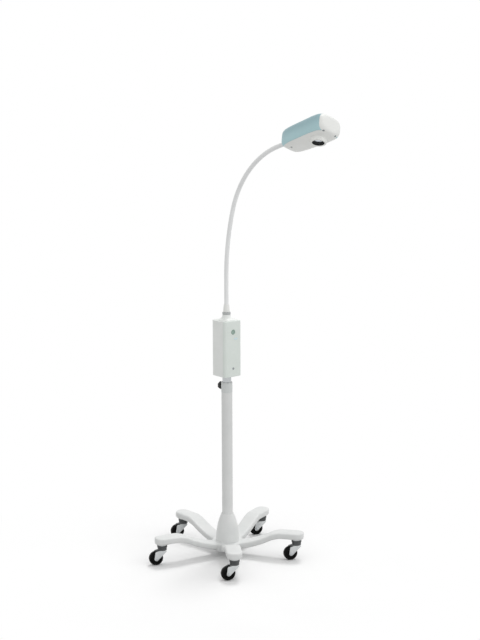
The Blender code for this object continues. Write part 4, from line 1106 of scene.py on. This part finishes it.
def head_form(inset):
    """Soft-edged box, wider at the nose, with rounded rims at both ends."""
    rings = []
    half = HEAD_LENGTH / 2 - inset
    for station in range(HEAD_STATIONS):
        share = -cos(pi * station / (HEAD_STATIONS - 1))
        half_width, half_height, squareness = head_section(share, inset)
        ahead = max(0, share)
        lift = BROW_RISE * ahead * (1 - ahead ** BROW_POWER)
        points = []
        for step in range(HEAD_SIDES):
            turn = tau * (step + 0.5) / HEAD_SIDES
            across = copysign(abs(cos(turn)) ** (2 / squareness), cos(turn))
            up = copysign(abs(sin(turn)) ** (2 / squareness), sin(turn))
            height = half_height + (lift if up > 0 else 0)
            points.append((share * half, half_width * across, height * up))
        rings.append(points)
    return loft(rings)


def graded(bm):
    """Keeps how far along and up the head each point lies as texture coordinates; the height sets the cover's
    painted shade.
    """
    layer = bm.loops.layers.uv.new("rise")
    for face in bm.faces:
        for corner in face.loops:
            point = corner.vert.co
            corner[layer].uv = (point.x / HEAD_LENGTH + 0.5, point.z / HEAD_HEIGHT + 0.5)
    return bm


def screw_seat(x, y):
    return head_underside(x, y) + SCREW_SINK


def make_shell(place, finish):
    """Tinted upper cover, behind the nose and above the parting line."""
    reach = HEAD_LENGTH
    below = block((-reach, -reach, -reach), (reach, reach, PARTING + HEAD_SEAM))
    ahead = block((NOSE_PLANE - HEAD_SEAM, -reach, -reach), (reach, reach, reach))
    neck_hole = moved(rod(NECK_BORE, -reach, -reach / 4), Matrix.Rotation(pi / 2, 4, "Y"))
    # The cover's texture coordinates carry its painted shade, darker towards the top.
    shell = graded(eased(carved(head_form(0), head_form(HEAD_WALL), below, ahead, neck_hole), EDGE_EASE))
    piece("head_shell", moved(shell, place), finish, "lamp_head", "teal_plastic", "upper_cover")


def make_tray(place, finish):
    """White lower cover with the nose, open for the lens and with sunk seats for its screws."""
    reach = HEAD_LENGTH
    over = block((-reach, -reach, PARTING - HEAD_SEAM), (NOSE_PLANE + HEAD_SEAM, reach, reach))
    mouth_hole = rod(BARREL_SEAT, MOUTH - CUT_REACH, FLANGE_SEAT + CUT_REACH, sides=72)
    holes = [moved(mouth_hole, Matrix.Translation((LENS_X, 0, 0)))]
    for x, y in SCREW_SPOTS:
        seat = screw_seat(x, y)
        hole = rod(SCREW_RADIUS + SCREW_CLEARANCE, seat - CUT_REACH, seat, sides=32)
        holes.append(moved(hole, Matrix.Translation((x, y, 0))))
    tray = eased(carved(head_form(0), head_form(HEAD_WALL), over, *holes), EDGE_EASE)
    piece("head_tray", moved(tray, place), finish, "lamp_head", "white_plastic", "lower_cover")


def make_collar(lens_line, finish):
    collar = turned(COLLAR_OUTLINE, easing=0.0012, sides=80)
    piece("lens_collar", moved(collar, lens_line), finish, "lamp_head", "white_plastic")


def make_cover_screws(place, finish):
    under = Matrix.Rotation(pi, 4, "X")
    for number, ((x, y), nodes) in enumerate(zip(SCREW_SPOTS, SCREW_NODES), start=1):
        seat = Matrix.Translation((x, y, screw_seat(x, y)))
        head = moved(screw_form(SCREW_RADIUS, SCREW_HEIGHT), place @ seat @ under)
        piece(f"tray_screw_{number}", head, finish, "lamp_head", "steel", *nodes)


def make_barrel(lens_line, finish):
    """Dark barrel with a flange inside the head and two steps inside its mouth."""
    low = MOUTH + GAP
    flange = FLANGE_SEAT + GAP
    top = flange + FLANGE_THICKNESS
    steps = [(radius, low + height) for radius, height in BARREL_STEPS]
    outline = [(COLLAR_RADIUS, top), (COLLAR_RADIUS, flange), (BARREL_RADIUS, flange), (BARREL_RADIUS, low),
               *steps, (BARREL_LIP, LIP), (BARREL_BORE, LIP), (BARREL_BORE, top)]
    barrel = turned(outline, easing=0.0005, sides=80)
    piece("lens_tube", moved(barrel, lens_line), finish, "lamp_head", "black_plastic", "lens_barrel")


def make_lens(lens_line, finish):
    """Lens with a shallow crown towards the mouth."""
    shares = [step / LENS_STEPS for step in range(LENS_STEPS + 1)]
    dome = [(BARREL_LIP * share, LENS_SEAT - LENS_CROWN * (1 - share ** 2)) for share in shares]
    top = LENS_SEAT + LENS_THICKNESS
    lens = turned([*dome, (LENS_RADIUS, LENS_SEAT), (LENS_RADIUS, top), (0, top)], easing=0.0004, sides=72)
    piece("lens_disc", moved(lens, lens_line), finish, "lamp_head", "lens_glass", "lens")


def make_gland(place, finish):
    """Sleeve that takes the neck at the rear of the head."""
    gland = turned(GLAND_OUTLINE, easing=0.001, sides=56)
    along = Matrix.Translation((-HEAD_LENGTH / 2, 0, 0)) @ Matrix.Rotation(pi / 2, 4, "Y")
    piece("neck_gland", moved(gland, place @ along), finish, "lamp_head", "neck_sheath", "upper_ferrule")


def make_head(finishes):
    place = head_place()
    lens_line = place @ Matrix.Translation((LENS_X, 0, 0))
    make_shell(place, finishes["shell"])
    make_tray(place, finishes["tray"])
    make_collar(lens_line, finishes["tray"])
    make_cover_screws(place, finishes["screw"])
    make_barrel(lens_line, finishes["black"])
    make_lens(lens_line, finishes["glass"])
    make_gland(place, finishes["sheath"])


# Inner CAD pieces that keep their own shape

def finish_nodes(frame, finishes):
    wanted = {
        "tube_plug": "zinc", "base_bolt": "zinc", "guide_bush": "nylon", "clamp_pad": "nylon",
        "clamp_screw": "zinc", "control_board": "board", "power_module": "black", "power_inlet": "black",
        "reflector": "mirror", "led_module": "board", "heat_sink": "aluminium",
    }
    for node, finish in wanted.items():
        mesh = frame["nodes"][node].data
        mesh.materials.clear()
        mesh.materials.append(finishes[finish])


# Studio

def seen(tree):
    """One where a surface is seen, also mirrored or through glass, and nought for its light."""
    path = tree.nodes.new("ShaderNodeLightPath")
    most = path.outputs["Is Camera Ray"]
    for name in ("Is Glossy Ray", "Is Transmission Ray"):
        larger = tree.nodes.new("ShaderNodeMath")
        larger.operation = "MAXIMUM"
        tree.links.new(most, larger.inputs[0])
        tree.links.new(path.outputs[name], larger.inputs[1])
        most = larger.outputs["Value"]
    return most


def mixed(tree, factor, first, second):
    mix = add(tree, "ShaderNodeMixShader", Fac=factor)
    tree.links.new(first, mix.inputs[1])
    tree.links.new(second, mix.inputs[2])
    return mix.outputs["Shader"]


def floor_finish():
    """Floor that keeps the shadow, is plain white further off and sends back part of the light."""
    material, tree, shader, where = start_finish("studio_floor")
    shader.inputs["Roughness"].default_value = 0.7
    shader.inputs["Specular IOR Level"].default_value = 0.0
    paint(tree, shader, noise(tree, where, scale=2), "fbfbfb", "fefefe")
    length = tree.nodes.new("ShaderNodeVectorMath")
    length.operation = "LENGTH"
    tree.links.new(where, length.inputs[0])
    distance = length.outputs["Value"]
    away = add(tree, "ShaderNodeMapRange", Value=distance, From_Min=FLOOR_NEAR, From_Max=FLOOR_FAR)
    away.interpolation_type = "SMOOTHSTEP"
    white = add(tree, "ShaderNodeEmission")
    front = mixed(tree, away.outputs["Result"], shader.outputs["BSDF"], white.outputs["Emission"])
    back = add(tree, "ShaderNodeBsdfDiffuse", Color=tint(FLOOR_BOUNCE))
    whole = mixed(tree, seen(tree), back.outputs["BSDF"], front)
    tree.links.new(whole, tree.nodes["Material Output"].inputs["Surface"])
    return material


def make_floor():
    bm = bmesh.new()
    bmesh.ops.create_grid(bm, x_segments=1, y_segments=1, size=FLOOR_SIZE)
    floor = loose("studio_floor", bm)
    floor.data.materials.append(floor_finish())


def white_background(tree, strength):
    return add(tree, "ShaderNodeBackground", Color=(1, 1, 1, 1), Strength=strength).outputs["Background"]


def make_world():
    """Even soft light, with plain white where the background itself is seen."""
    world = bpy.data.worlds.new("studio")
    bpy.context.scene.world = world
    world.use_nodes = True
    tree = world.node_tree
    tree.nodes.clear()
    output = tree.nodes.new("ShaderNodeOutputWorld")
    whole = mixed(tree, seen(tree), white_background(tree, AMBIENT), white_background(tree, 1.0))
    tree.links.new(whole, output.inputs["Surface"])


def make_sun(name, azimuth, elevation, strength, softness):
    """Soft sun that shines from a compass direction and height, both in degrees."""
    data = bpy.data.lights.new(name, "SUN")
    data.energy = strength
    data.angle = radians(softness)
    sun = placed(name, data)
    turn = radians(azimuth)
    rise = radians(elevation)
    source = Vector((cos(turn) * cos(rise), sin(turn) * cos(rise), sin(rise)))
    sun.rotation_euler = source.to_track_quat("Z", "Y").to_euler()


def make_camera():
    data = bpy.data.cameras.new("camera")
    data.sensor_fit = "VERTICAL"
    data.sensor_height = CAMERA_SENSOR
    data.lens = CAMERA_LENS
    data.clip_end = CAMERA_REACH
    camera = placed("camera", data)
    turn = Matrix.Rotation(radians(CAMERA_TURN), 4, "Z")
    tilt = Matrix.Rotation(radians(CAMERA_TILT), 4, "X")
    roll = Matrix.Rotation(radians(CAMERA_ROLL), 4, "Z")
    camera.matrix_world = Matrix.Translation(CAMERA_PLACE) @ turn @ tilt @ roll
    bpy.context.scene.camera = camera


def make_finishes():
    return {
        "base": base_enamel(), "pole": pole_enamel(), "sleeve": sleeve_enamel(), "box": box_plastic(),
        "panel": panel_plastic(), "tray": tray_plastic(), "shell": shell_plastic_painted_shade(), "black": black_plastic(),
        "hood": hood_plastic(), "nylon": nylon(), "ring": ring_plastic(), "button": button_plastic(),
        "window": window_plastic(), "board": board_lacquer(), "sheath": neck_sheath(), "screw": screw_metal(),
        "zinc": zinc(), "fork": fork_zinc(), "steel": post_steel(), "aluminium": sink_aluminium(),
        "mirror": mirror_metal(), "rubber": wheel_rubber(), "glass": lens_glass(),
    }


def make_lamp(frame, finishes):
    make_base(frame, finishes["base"])
    make_cone(finishes["base"])
    make_tube(finishes["pole"])
    make_sleeve(finishes["sleeve"])
    make_boss(finishes["pole"])
    make_bush(finishes["nylon"])
    make_post(finishes["steel"])
    make_knob(finishes["black"])
    for number in range(1, CASTER_COUNT + 1):
        make_caster(number, finishes)
    make_housing(finishes["box"])
    make_panel(finishes["panel"])
    make_button(finishes["button"])
    make_window(finishes["window"])
    make_panel_screw(finishes["screw"])
    make_flare(finishes["box"])
    make_lock_ring(finishes["ring"])
    make_ferrule(finishes["tray"])
    make_neck(finishes["sheath"])
    make_head(finishes)
    finish_nodes(frame, finishes)


def main():
    for item in list(bpy.data.objects):
        bpy.data.objects.remove(item)
    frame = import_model()
    bpy.context.scene.view_settings.view_transform = "Standard"
    make_camera()
    make_lamp(frame, make_finishes())
    make_floor()
    make_world()
    make_sun("key", azimuth=30, elevation=68, strength=0.78, softness=14)
    make_sun("fill", azimuth=-70, elevation=25, strength=0.55, softness=70)


main()
